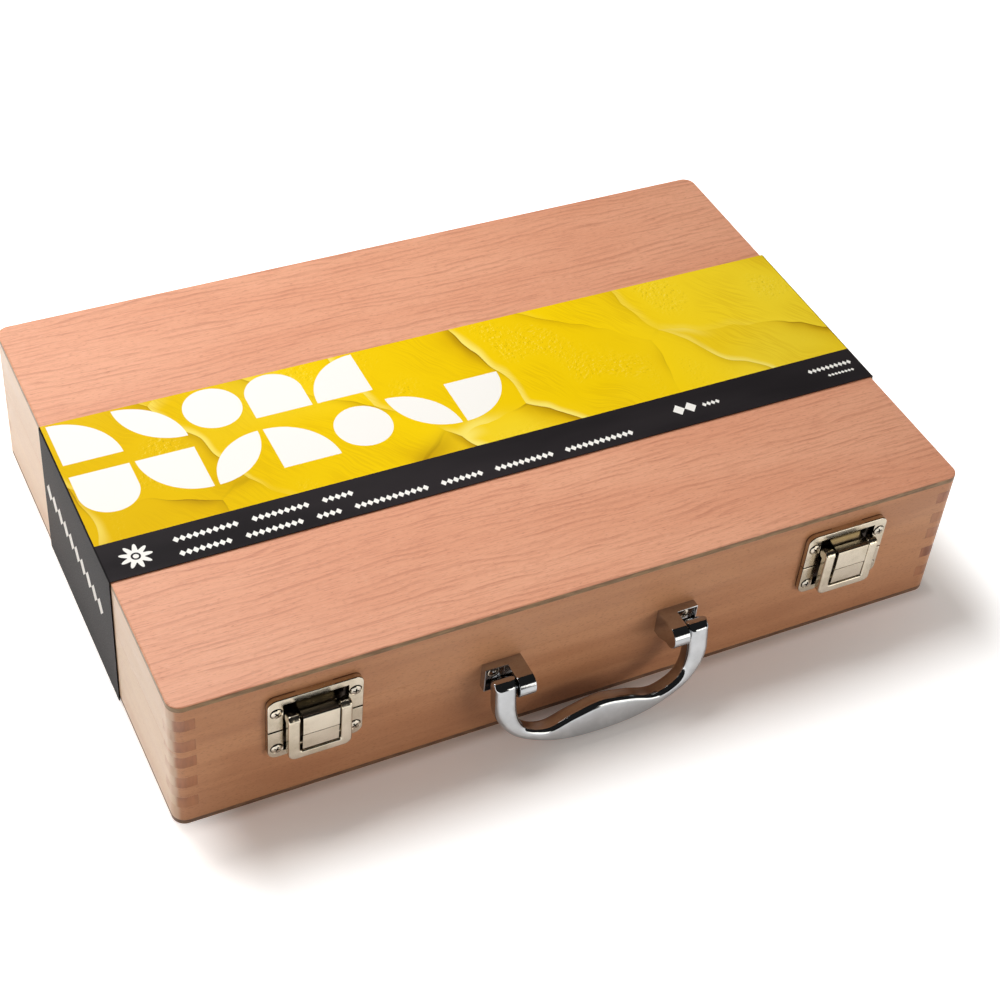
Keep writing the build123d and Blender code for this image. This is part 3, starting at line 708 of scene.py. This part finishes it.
handleSet = {
    # blocks on the wall
    "spacing": 87.5, "blockWidth": 18.7, "blockLow": 31.8, "blockHigh": 45.4, "plateDepth": 4.2,
    "pocketFloor": 1.4, "pocketRim": 0.7, "armWidth": 7.9, "armLap": 1.0,
    "pivotOut": 12.2, "pivotUp": 40.0, "nose": 5.4, "noseShare": 0.35, "edge": 0.28,
    # bail, from its pivot: half of its outer and inner outline as (across, up)
    "legIn": 42.8, "legOut": 53.1, "legStops": (0.0, -2.0, -4.0, -6.0), "straight": 8.0, "eye": 5.2, "eyeSteps": 9,
    "outer": [(46.2, -24.3), (31.3, -34.0), (0.0, -39.3)],
    "inner": [(38.0, -23.2), (28.0, -27.8), (14.0, -24.4), (0.0, -22.0)],
    "thickness": 9.0, "rounding": 2.9, "roundShare": 0.45, "lean": 9.0, "steps": 44, "sectionSteps": 6,
}


def throughPoints(points, startSlope, endSlope, steps):
    # smooth curve through the points with given end directions, evenly spaced along its length
    points = [Vector(point) for point in points]
    spans = [(after - before).length for before, after in zip(points, points[1:])]
    slopes = [Vector(startSlope)]
    for index in range(1, len(points) - 1):
        before, after = spans[index - 1], spans[index]
        comes, goes = points[index] - points[index - 1], points[index + 1] - points[index]
        slopes.append((comes / before * after + goes / after * before) / (before + after))
    slopes.append(Vector(endSlope))
    fine = 40
    dense = []
    for index, span in enumerate(spans):
        for step in range(fine):
            t = step / fine
            first, second = slopes[index] * span, slopes[index + 1] * span
            dense.append(
                points[index] * (2 * t**3 - 3 * t**2 + 1) + first * (t**3 - 2 * t**2 + t)
                + points[index + 1] * (3 * t**2 - 2 * t**3) + second * (t**3 - t**2)
            )
    dense.append(points[-1])
    lengths = [0.0]
    for before, after in zip(dense, dense[1:]):
        lengths.append(lengths[-1] + (after - before).length)
    even = []
    for step in range(steps + 1):
        target = lengths[-1] * step / steps
        index = next((i for i in range(1, len(lengths)) if lengths[i] >= target - 1e-9), len(lengths) - 1)
        share = (target - lengths[index - 1]) / (lengths[index] - lengths[index - 1])
        even.append(dense[index - 1].lerp(dense[index], share))
    return even


def bailMesh(s):
    work = bmesh.new()
    lean = radians(s["lean"])
    pivot = Vector((0, frontFace - s["pivotOut"], s["pivotUp"]))

    def place(x, up, out):
        turned = Vector((x, sin(lean) * up - cos(lean) * out, cos(lean) * up + sin(lean) * out))
        return (pivot + turned) * mm

    outer, inner = (
        throughPoints([(leg, -s["straight"])] + line, (0, -1), (-1, 0), s["steps"])
        for leg, line in ((s["legOut"], s["outer"]), (s["legIn"], s["inner"]))
    )
    # each row is the inner point, the outer point and half of the thickness there
    half, full = [], s["thickness"] / 2
    for step in range(1, s["eyeSteps"]):
        angle = pi / 2 * step / s["eyeSteps"]
        up, deep = s["eye"] * cos(angle), s["eye"] * sin(angle)
        half.append(((s["legIn"], up), (s["legOut"], up), min(deep, full)))
    half += [((s["legIn"], up), (s["legOut"], up), full) for up in s["legStops"]]
    half += [(tuple(i), tuple(o), full) for i, o in zip(inner, outer)]
    stations = []
    for inPoint, outPoint, deep in half:
        rounding = min(s["rounding"], 2 * deep * s["roundShare"])
        loop = roundedSection(dist(inPoint, outPoint), 2 * deep, rounding, rounding, s["sectionSteps"])
        stations.append((inPoint, outPoint, [(side, out - deep) for side, out in loop]))
    mirrored = [(flipped(i), flipped(o), loop) for i, o, loop in reversed(stations[:-1])]
    sweepBar(work, stations + mirrored, place)
    return meshFrom(work, "bail")


def blockMesh(hand, s):
    # plate against the wall with a round-nosed arm on its inner side
    innerEdge = s["spacing"] / 2 - s["blockWidth"] / 2
    outerEdge = s["spacing"] / 2 + s["blockWidth"] / 2
    armEdge = innerEdge + s["armWidth"]
    low, high, deep = s["blockLow"], s["blockHigh"], s["plateDepth"]
    rim, lap = s["pocketRim"], armEdge - s["armLap"]
    nose = hullOutline([(s["pivotOut"], s["pivotUp"], s["nose"])], 48)
    nose = [(out, up) for out, up in nose if out > s["pivotOut"] - s["nose"] * s["noseShare"]]
    nose.sort(key=lambda point: atan2(point[1] - s["pivotUp"], point[0] - s["pivotOut"]))

    def box(foot, head, out):
        return [(0.0, foot), (out, foot), (out, head), (0.0, head)]

    # the pocket is open to the front: a floor, an outer wall and a lip above and below
    strips = [
        (innerEdge, armEdge, [(0.0, low), (deep, low)] + nose + [(deep, high), (0.0, high)]),
        (lap, outerEdge, box(low, high, s["pocketFloor"])),
        (outerEdge - rim, outerEdge, box(low, high, deep)),
        (lap, outerEdge, box(high - rim, high, deep)),
        (lap, outerEdge, box(low, low + rim, deep)),
    ]
    parts = []
    for inner, outer, outline in strips:
        part = bmesh.new()
        extrudeAcross(part, outline, *sorted((hand * inner, hand * outer)), frontPlace(0))
        parts.append(meshFrom(part, "strip"))
    return bevelled(united(parts), s["edge"], 3, 40)


finishPiece("handle_grip", "bail", bailMesh(handleSet), chrome, ["handle_bail"], 60)
for side, hand in (("left", -1), ("right", 1)):
    block, kind = blockMesh(hand, handleSet), f"handle_{side}_"
    finishPiece(kind + "mount", "case", block, chrome, [kind + "block"], 30, True)
print("handle made")


# screws: the shape of a head is in head radii, the places are in millimetres

screwSet = {
    "Head Steps": 36, "Crown": 0.3, "Sink": 0.42,
    "Slot Width": 0.36, "Slot Depth": 0.42, "Slot Reach": 1.5, "Slot Taper": 0.5,
    "latchHead": 2.6, "handleHead": 3.1, "hingeHead": 2.0,
    "latchSpread": 17.5, "latchOut": 3.0, "latchLow": 35.9, "latchHigh": 58.0,
    "handlePlace": 47.7, "handleOut": 1.4, "handleUp": 39.8,
    "hingePlaces": (-115.0, 115.0), "hingeSpread": 13.0, "hingeOut": 1.2, "hingeRise": 9.6,
    # the turn of each cross differs a little, as hand-driven screws do
    "latchTurns": [0.35, 1.1, 0.1, 0.8], "upperTurn": 0.6, "handleTurn": 0.4, "hingeTurns": (0.3, 0.7),
}


def screwTree():
    # points carry headRadius and facing; each one gets a domed cross-head
    tree = bpy.data.node_groups.new("crossHeads", "GeometryNodeTree")
    sockets = {"Geometry": "Geometry", "Head Steps": "Int", "Material": "Material"}
    for label in ("Crown", "Sink", "Slot Width", "Slot Depth", "Slot Reach", "Slot Taper"):
        sockets[label] = "Float"
    for label, kind in sockets.items():
        tree.interface.new_socket(label, in_out="INPUT", socket_type="NodeSocket" + kind)
    tree.interface.new_socket("Geometry", in_out="OUTPUT", socket_type="NodeSocketGeometry")
    w = Wiring(tree)
    given = w.add("NodeGroupInput").outputs
    x, y, z = w.parts(w.add("GeometryNodeInputPosition").outputs[0])

    ball = w.add("GeometryNodeMeshUVSphere", Segments=given["Head Steps"], Rings=16, Radius=1.0)
    level = w.add(
        "GeometryNodeSwitch", input_type="FLOAT", Switch=w.math("GREATER_THAN", z, 0.0),
        **{"False": given["Sink"], "True": given["Crown"]},
    )
    dome = w.point(x, y, w.times(z, level.outputs[0]))
    domed = w.add("GeometryNodeSetPosition", Geometry=ball.outputs["Mesh"], Position=dome)

    size = w.point(given["Slot Reach"], given["Slot Width"], w.times(given["Slot Depth"], 2.0))
    bar = w.add("GeometryNodeMeshCube", Size=size).outputs["Mesh"]
    crossed = w.add("GeometryNodeTransform", Geometry=bar, Rotation=(0, 0, pi / 2)).outputs[0]
    union = w.add("GeometryNodeMeshBoolean", operation="UNION", solver="EXACT")
    for part in (bar, crossed):
        w.fill(union, 1, part)
    depth = given["Slot Depth"]
    narrow = w.add(
        "ShaderNodeMapRange", Value=z, From_Min=w.times(depth, -1.0), From_Max=depth, To_Min=given["Slot Taper"],
        To_Max=1.0,
    ).outputs[0]
    tapered = w.point(w.times(x, narrow), w.times(y, narrow), w.plus(z, given["Crown"]))
    cutter = w.add("GeometryNodeSetPosition", Geometry=union.outputs[0], Position=tapered)
    slotted = w.add("GeometryNodeMeshBoolean", operation="DIFFERENCE", solver="EXACT")
    for index, part in enumerate((domed, cutter)):
        w.fill(slotted, index, part.outputs[0])

    marked = w.add(
        "GeometryNodeStoreNamedAttribute", data_type="FLOAT", domain="POINT",
        Geometry=slotted.outputs[0], Name="lift", Value=z,
    )
    radius = w.add("GeometryNodeInputNamedAttribute", data_type="FLOAT", Name="headRadius").outputs[0]
    facing = w.add("GeometryNodeInputNamedAttribute", data_type="FLOAT_VECTOR", Name="facing").outputs[0]
    heads = w.add(
        "GeometryNodeInstanceOnPoints", Points=given["Geometry"], Instance=marked.outputs[0],
        Rotation=facing, Scale=radius,
    )
    solid = w.add("GeometryNodeRealizeInstances", Geometry=heads.outputs[0])
    coated = w.add("GeometryNodeSetMaterial", Geometry=solid.outputs[0], Material=given["Material"])
    w.add("NodeGroupOutput", Geometry=coated.outputs[0])
    return tree


def screwPiece(name, body, screws, tree, s):
    # screws are (replaced node, x, y, z, head radius, facing)
    points = bpy.data.meshes.new(name)
    points.from_pydata([Vector(item[1:4]) * mm for item in screws], [], [])
    radius = points.attributes.new("headRadius", "FLOAT", "POINT")
    facing = points.attributes.new("facing", "FLOAT_VECTOR", "POINT")
    for index, item in enumerate(screws):
        radius.data[index].value = item[4] * mm
        facing.data[index].vector = item[5]
    holder = placed(name + "Points", points)
    heads = holder.modifiers.new("heads", "NODES")
    heads.node_group = tree
    values = {**s, "Material": screwSteel}
    for item in tree.interface.items_tree:
        if item.in_out == "INPUT" and item.name in values:
            heads[item.identifier] = values[item.name]
    mesh = baked(holder)
    bpy.data.objects.remove(holder)
    finishPiece(name, body, mesh, screwSteel, [item[0] for item in screws], 40)


def screwRows(s):
    rows = {"lower": [], "upper": []}
    hands = (("left", -1), ("right", 1))

    def plateScrews(plate, hand, x, y, ups, size, facing, turns):
        for row, up, turn in zip(rows, ups, turns):
            rows[row].append((f"{plate}_{row}_screw_{hand}", x, y, up, size, (facing, turn, 0)))

    turns = iter(s["latchTurns"])
    for (side, sign), middle in zip(hands, latchPlaces.values()):
        for hand, step in hands:
            x, y, turn = middle + step * s["latchSpread"], frontFace - s["latchOut"], next(turns)
            ups, both = (s["latchLow"], s["latchHigh"]), (turn, turn + s["upperTurn"])
            plateScrews(f"latch_{side}", hand, x, y, ups, s["latchHead"], pi / 2, both)
        x, y, facing = sign * s["handlePlace"], frontFace - s["handleOut"], (pi / 2, s["handleTurn"] * sign, 0)
        rows["lower"].append((f"handle_{side}_screw", x, y, s["handleUp"], s["handleHead"], facing))
    ups = (case["parting"] - s["hingeRise"], case["parting"] + s["hingeRise"])
    for (side, sign), middle in zip(hands, s["hingePlaces"]):
        for hand, step in hands:
            x, y = middle + step * s["hingeSpread"], backFace + s["hingeOut"]
            both = [turn * step for turn in s["hingeTurns"]]
            plateScrews(f"hinge_{side}", hand, x, y, ups, s["hingeHead"], -pi / 2, both)
    return rows["lower"], rows["upper"]


caseScrews, lidScrews = screwRows(screwSet)
crossHeads = screwTree()
screwPiece("case_screws", "case", caseScrews, crossHeads, screwSet)
screwPiece("lid_screws", "lid", lidScrews, crossHeads, screwSet)
print("screws made")


# card sleeve

sleeveSet = {
    "front": -53.0, "back": 52.0, "halfOut": 193.3, "top": 76.3, "foot": 0.4, "card": 0.5,
    "fold": 0.7, "leastFold": 0.15, "foldSteps": 6, "sideStop": 38.0, "topStops": (-120.0, 0.0, 120.0),
    "bandEdge": -30.5, "soft": 0.1, "flankFrom": (192.55, 192.65),
    "yellow": paint(250, 212, 4), "yellowPale": paint(252, 226, 60), "yellowGlint": paint(255, 240, 130),
    "yellowDark": paint(214, 168, 6), "yellowDeep": paint(142, 102, 8),
    "band": paint(37, 34, 36), "bandPale": paint(48, 44, 46), "white": paint(250, 248, 243),
    # paint strokes: length, width and bend in millimetres, turn in degrees
    "strokeLong": 118.0, "strokeWide": 56.0, "strokeTurn": -34.0, "strokeBend": 24.0,
    # two rows of tiles: (height, [(shape, mirror across, mirror up)])
    "tile": 30.4, "tileHalf": 13.9, "firstTile": -176.4,
    "tileRows": [
        (37.0, [("quarter", 1, 1), ("leaf", 1, 1), ("disc", 1, 1), ("arch", 1, 1), ("quarter", -1, 1)]),
        (1.0, [
            ("arch", 1, -1), ("quarter", -1, -1), ("leaf", -1, 1), ("quarter", 1, 1), ("disc", 1, 1),
            ("leaf", 1, 1), ("quarter", 1, -1),
        ]),
    ],
    # chains of small lozenges: (middle, half height, pitch, [(low, high)])
    "chains": [
        (-38.8, 1.9, 3.0, [(-160.5, -130.5), (-124.5, -97.5), (-91.5, -76.5)]),
        (-47.6, 1.9, 3.0, [
            (-160.5, -136.5), (-130.5, -103.5), (-97.5, -85.5), (-79.5, -43.5), (-37.5, -16.5),
            (-10.5, 19.5), (25.5, 61.5),
        ]),
        (-41.6, 3.6, 6.4, [(86.4, 99.2)]),
        (-42.4, 1.5, 2.4, [(102.0, 111.6)]),
        (-39.6, 1.6, 2.5, [(163.75, 188.75)]),
        (-45.2, 1.0, 1.9, [(171.95, 187.15)]),
    ],
    "flankChain": (43.5, 5.2, 8.6, [(-38.7, 47.3)]),
    # rosette: middle, radius, petals, mean and swing of its edge, eye and the gap round it
    "rosette": (-178.0, -42.2, 7.4, 9, 0.76, 0.24, 1.3, 2.2),
}


def sleeveMesh(s):
    # card folded over the top and down both ends, each fold with its own small radius
    work = bmesh.new()
    chains = []
    for inset in (0.0, s["card"]):
        half, top, radius = s["halfOut"] - inset, s["top"] - inset, max(s["fold"] - inset, s["leastFold"])
        left = [(-half, s["foot"]), (-half, s["sideStop"])]
        left += arc(-half + radius, top - radius, radius, pi, pi / 2, s["foldSteps"])
        right = arc(half - radius, top - radius, radius, pi / 2, 0, s["foldSteps"])
        right += [(half, s["sideStop"]), (half, s["foot"])]
        chains.append(left + [(x, top) for x in s["topStops"]] + right)
    (frontOut, frontIn), (backOut, backIn) = (
        [[work.verts.new((x * mm, depth * mm, z * mm)) for x, z in chain] for chain in chains]
        for depth in (s["front"], s["back"])
    )
    for here in range(len(frontOut) - 1):
        after = here + 1
        work.faces.new((frontOut[here], frontOut[after], backOut[after], backOut[here]))
        work.faces.new((frontIn[after], frontIn[here], backIn[here], backIn[after])).material_index = 1
        work.faces.new((frontOut[after], frontOut[here], frontIn[here], frontIn[after]))
        work.faces.new((backOut[here], backOut[after], backIn[after], backIn[here]))
    for end in (0, -1):
        work.faces.new((frontOut[end], backOut[end], backIn[end], frontIn[end]))
    return meshFrom(work, "sleeve")


def strokeColour(r, s):
    # thick paint laid on with a knife: each stroke dips into shade and ends in a ridge over its neighbour
    x, y = r.parts(r.spot)[:2]
    flat = r.point(x, y)
    bend = r.add("ShaderNodeTexNoise", Vector=r.stretch((26, 20, 1), source=flat), Scale=1.0, Detail=2.0)
    share = s["strokeBend"] * mm
    bent = r.vector("MULTIPLY_ADD", bend.outputs["Color"], (share, share, 0), flat)
    turned = r.stretch((1, 1, 1), turn=(0, 0, radians(s["strokeTurn"])), source=bent)
    perMetre = (1000 / s["strokeWide"], 1000 / s["strokeLong"], 1)
    strokes = r.stretch(perMetre, shift=(0.35, 0.1, 0), source=turned)
    cell, rim = (
        r.add("ShaderNodeTexVoronoi", voronoi_dimensions="2D", feature=part, Vector=strokes, Scale=1.0).outputs
        for part in ("F1", "DISTANCE_TO_EDGE")
    )
    side = r.axis("X", r.vector("SUBTRACT", strokes, cell["Position"]))
    edge, lot = rim["Distance"], r.axis("X", cell["Color"])
    held = r.noise((15, 15, 1), shift=(0.9, 0.25, 0), source=flat)
    strength = r.times(r.ramp(held, 0.36, 0.58), r.ramp(lot, 0.15, 0.6, 0.4, 1.0))

    broad = r.noise((9, 12, 1), source=flat)
    colour = r.coats(
        s["yellow"], (r.ramp(broad, 0.52, 0.8, 0.0, 0.7), s["yellowPale"]),
        (r.ramp(x, -0.2, -0.02, 0.55, 0.0), s["yellowDark"]), (r.ramp(x, 0.06, 0.19, 0.0, 0.55), s["yellowPale"]),
        (r.times(lot, 0.22), s["yellowDark"]),
    )
    # dip, fold, ridge and crease: where across the stroke, how near its edge, amount, colour
    for across, near, amount, shade in (
        ((0.02, 0.4), (0.0, 0.3), 0.75, "yellowDark"),
        ((0.12, 0.4), (0.0, 0.09), 0.52, "yellowDeep"),
        ((-0.12, -0.35), (0.01, 0.075), 0.75, "yellowGlint"),
        ((0.1, 0.3), (0.004, 0.016), 0.5, "yellowDeep"),
    ):
        mask = r.times(r.ramp(side, *across), r.ramp(edge, *near, 1.0, 0.0), strength, amount)
        colour = r.blend(mask, colour, s[shade])

    patch = r.noise((20, 20, 1), shift=(0.3, 0.7, 0), source=flat)
    combed = r.times(r.ramp(patch, 0.46, 0.6), r.ramp(r.noise((1100, 55, 1), source=turned), 0.4, 0.62))
    crumbSpot = r.stretch((330, 420, 1), source=bent)
    here, beside = (
        r.noise((1, 1, 1), 3.0, 0.65, shift=step, source=crumbSpot) for step in ((0, 0, 0), (0.14, -0.1, 0))
    )
    crumbs = r.minus(here, beside)
    scratched = r.times(r.ramp(patch, 0.5, 0.36), r.ramp(edge, 0.05, 0.2))
    return r.coats(
        colour, (r.times(combed, 0.25), s["yellowDark"]),
        (r.times(scratched, r.ramp(crumbs, 0.04, 0.14, 0.0, 0.32)), s["yellowDeep"]),
        (r.times(scratched, r.ramp(crumbs, -0.04, -0.14, 0.0, 0.36)), s["yellowGlint"]),
    )


def cardPrint(s):
    r = Recipe("cardPrint")
    x, y, z = (r.times(part, 1000.0) for part in r.parts(r.spot))

    def moved(value, step):
        return r.plus(value, float(step))

    def within(edge):
        # 1 where the distance to a shape's edge is below nought
        return r.ramp(edge, -s["soft"], s["soft"], 1.0, 0.0)

    def tileShape(kind, dx, dy, half):
        # distance to the edge of a shape that fills one tile
        if kind == "disc":
            return moved(r.reach(dx, dy), -half)
        if kind == "arch":
            return r.most(moved(r.reach(dx, r.most(dy, 0.0)), -half), r.minus(-half, dy))
        corner = moved(r.reach(moved(dx, half), moved(dy, half)), -2 * half)
        if kind == "leaf":
            return r.most(corner, moved(r.reach(moved(dx, -half), moved(dy, -half)), -2 * half))
        return r.most(corner, r.minus(-half, dx), r.minus(-half, dy))

    def chain(along, up, middle, half, pitch, spans):
        # lozenges side by side, kept inside the given spans
        nearby = r.math("PINGPONG", along, pitch / 2)
        lozenge = moved(r.plus(r.times(nearby, 2 * half / pitch), r.size(moved(up, -middle))), -half)
        inside = [moved(r.size(moved(along, -(low + high) / 2)), -(high - low) / 2) for low, high in spans]
        return r.most(lozenge, r.least(*inside))

    colour = strokeColour(r, s)
    shapes = []
    for up, row in s["tileRows"]:
        for number, (kind, mirrorX, mirrorY) in enumerate(row):
            middle = s["firstTile"] + number * s["tile"]
            dx, dy = r.times(moved(x, -middle), float(mirrorX)), r.times(moved(y, -up), float(mirrorY))
            shapes.append(tileShape(kind, dx, dy, s["tileHalf"]))
    colour = r.blend(within(r.least(*shapes)), colour, s["white"])

    flank = r.ramp(r.size(x), *s["flankFrom"])
    dark = r.most(within(moved(y, -s["bandEdge"])), flank)
    cloud = r.noise((9, 26, 26), 3.0)
    shaded = (r.times(flank, 0.5), (0, 0, 0, 1))
    black = r.coats(s["band"], (r.ramp(cloud, 0.35, 0.7), s["bandPale"]), shaded)
    colour = r.blend(dark, colour, black)
    marks = [chain(x, y, *item) for item in s["chains"]]
    middleX, middleY, size, petals, mean, swing, eye, gap = s["rosette"]
    dx, dy = moved(x, -middleX), moved(y, -middleY)
    ripple = r.math("COSINE", r.times(r.math("ARCTAN2", dy, dx), float(petals)))
    petal = r.times(moved(r.times(ripple, swing), mean), size)
    away = r.reach(dx, dy)
    marks += [r.most(r.minus(away, petal), r.minus(gap, away)), moved(away, -eye)]
    onTop = r.times(within(r.least(*marks)), r.minus(1.0, flank))
    onFlank = r.times(within(chain(y, z, *s["flankChain"])), flank)
    colour = r.blend(r.most(onTop, onFlank), colour, s["white"])
    fibre = r.noise((1500, 1500, 1500), 2.0)
    return r.finish(
        Base_Color=colour, Roughness=r.ramp(fibre, 0.3, 0.7, 0.4, 0.5), Specular_IOR_Level=0.03,
        Normal=r.bump(fibre, 0.00002, 0.4),
    )


def rawCard():
    r = Recipe("rawCard")
    fibre = r.noise((700, 1100, 700), 3.0, 0.7)
    colour = r.blend(r.ramp(fibre, 0.3, 0.7), paint(214, 208, 196), paint(232, 228, 218))
    rough = r.ramp(fibre, 0.3, 0.7, 0.75, 0.88)
    return r.finish(Base_Color=colour, Roughness=rough, Normal=r.bump(fibre, 0.00003))


sleeveObject = placed("sleeve_wrap", sleeveMesh(sleeveSet))
for material in (cardPrint(sleeveSet), rawCard()):
    sleeveObject.data.materials.append(material)
for item in sleeveObject.data.polygons:
    item.use_smooth = True
sleeveObject.data.set_sharp_from_angle(angle=radians(30))
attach(sleeveObject, "sleeve")
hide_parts("card_sleeve")
print("sleeve made")


# stage and light

stageSet = {
    "floorSize": 6.0, "floorColour": paint(226, 223, 220),
    # the two warm tints colour the floor near the case: painted bounce light from the wood
    "bounceLeft": (1.0, 0.9, 0.84, 1), "bounceRight": (0.97, 0.93, 0.91, 1), "dark": (0.05, 0.05, 0.05, 1),
    # a gap beside the case counts more than one before it
    "besideWeight": 1.5,
    # how much the paper glows when seen: what counts, where it starts and ends in metres, amount
    "glow": [
        ("gap", 0.018, 0.078, 0.4), ("away", 0.45, 0.9, 0.55), ("gap", 0.001, 0.008, 0.1),
        ("x", 0.08, 0.24, 0.12), ("x", -0.16, -0.2, 0.62),
    ],
    # strength of the world on the object, and in its mirror images, where the room is dark
    "sky": 0.26, "skyTint": (1.0, 0.95, 0.9, 1.0), "gloss": 0.02,
    "lamps": {  # place, aim, size in metres, spread in degrees, watts, colour
        "key": ((-0.17, 0.46, 1.12), (-0.12, 0.0, 0.0), 0.5, 66, 1.47, (1.0, 1.0, 1.0)),
        "side": ((-1.25, 0.42, 0.45), (-0.15, 0.0, 0.0), 0.8, 180, 4.1, (1.0, 0.98, 0.95)),
        "haze": ((-0.1, 1.2, 0.92), (-0.1, 0.0, 0.0), 0.5, 180, 2.6, (1.0, 1.0, 1.0)),
        "fill": ((1.0, -1.5, 0.3), (0.0, 0.0, 0.0), 1.0, 180, 9.0, (1.0, 0.96, 0.89)),
    },
}


def floorMaterial(s):
    # seen directly it is bright paper that keeps its shadow; in reflections it ends in the dark of the room
    r = Recipe("paperFloor")
    seen = r.add("ShaderNodeLightPath").outputs
    direct = r.most(seen["Is Camera Ray"], seen["Is Glossy Ray"], seen["Is Transmission Ray"])
    along, x, y = r.axis("X"), r.size(r.axis("X")), r.size(r.axis("Y"))
    beside = r.times(r.most(r.minus(x, case["length"] / 2 * mm), 0.0), s["besideWeight"])
    before = r.most(r.minus(y, case["width"] / 2 * mm), 0.0)
    measures = {"gap": r.reach(beside, before), "away": r.reach(x, y), "x": along}
    room = r.times(seen["Is Glossy Ray"], r.ramp(measures["away"], 0.45, 0.95))
    # a warm tint near the case: painted bounce light from the wood
    near = r.times(direct, r.ramp(measures["gap"], 0.01, 0.06, 1.0, 0.0))
    paintedBounce = r.blend(r.ramp(along, -0.1, 0.22), s["bounceLeft"], s["bounceRight"])
    colour = r.coats(s["floorColour"], (direct, (1, 1, 1, 1)), (near, paintedBounce), (room, s["dark"]))
    glow = r.plus(*[r.ramp(measures[key], start, end, 0.0, amount) for key, start, end, amount in s["glow"]])
    return r.finish(
        Base_Color=colour, Roughness=0.9, Specular_IOR_Level=0.0,
        Emission_Color=(1, 1, 1, 1), Emission_Strength=r.times(direct, glow, r.minus(1.0, room)),
        Normal=r.bump(r.noise((900, 900, 900), 2.0), 0.00002, 0.3),
    )


def buildStage(s):
    mesh = bpy.data.meshes.new("paper")
    far = s["floorSize"]
    mesh.from_pydata([(-far, -far, 0), (far, -far, 0), (far, far, 0), (-far, far, 0)], [], [(0, 1, 2, 3)])
    mesh.materials.append(floorMaterial(s))
    floor = placed("paper", mesh)
    for name, (place, aim, size, spread, watts, colour) in s["lamps"].items():
        data = bpy.data.lights.new(name, "AREA")
        data.size, data.spread, data.energy, data.color = size, radians(spread), watts, colour
        lamp = placed(name, data)
        lamp.location = place
        lamp.rotation_euler = (Vector(aim) - Vector(place)).to_track_quat("-Z", "Y").to_euler()
    world = bpy.data.worlds.new("softStudio")
    bpy.context.scene.world = world
    world.use_nodes = True
    w = Wiring(world.node_tree)
    path = w.add("ShaderNodeLightPath").outputs
    glossy = path["Is Glossy Ray"]
    plain = w.most(path["Is Camera Ray"], path["Is Transmission Ray"])
    ambient = w.minus(1.0, w.most(plain, glossy))
    back = world.node_tree.nodes["Background"]
    w.fill(back, "Strength", w.plus(plain, w.times(glossy, s["gloss"]), w.times(ambient, s["sky"])))
    w.fill(back, "Color", w.blend(ambient, (1, 1, 1, 1), s["skyTint"]))


buildStage(stageSet)
bpy.context.scene.view_settings.view_transform = "Standard"
print("stage lit")
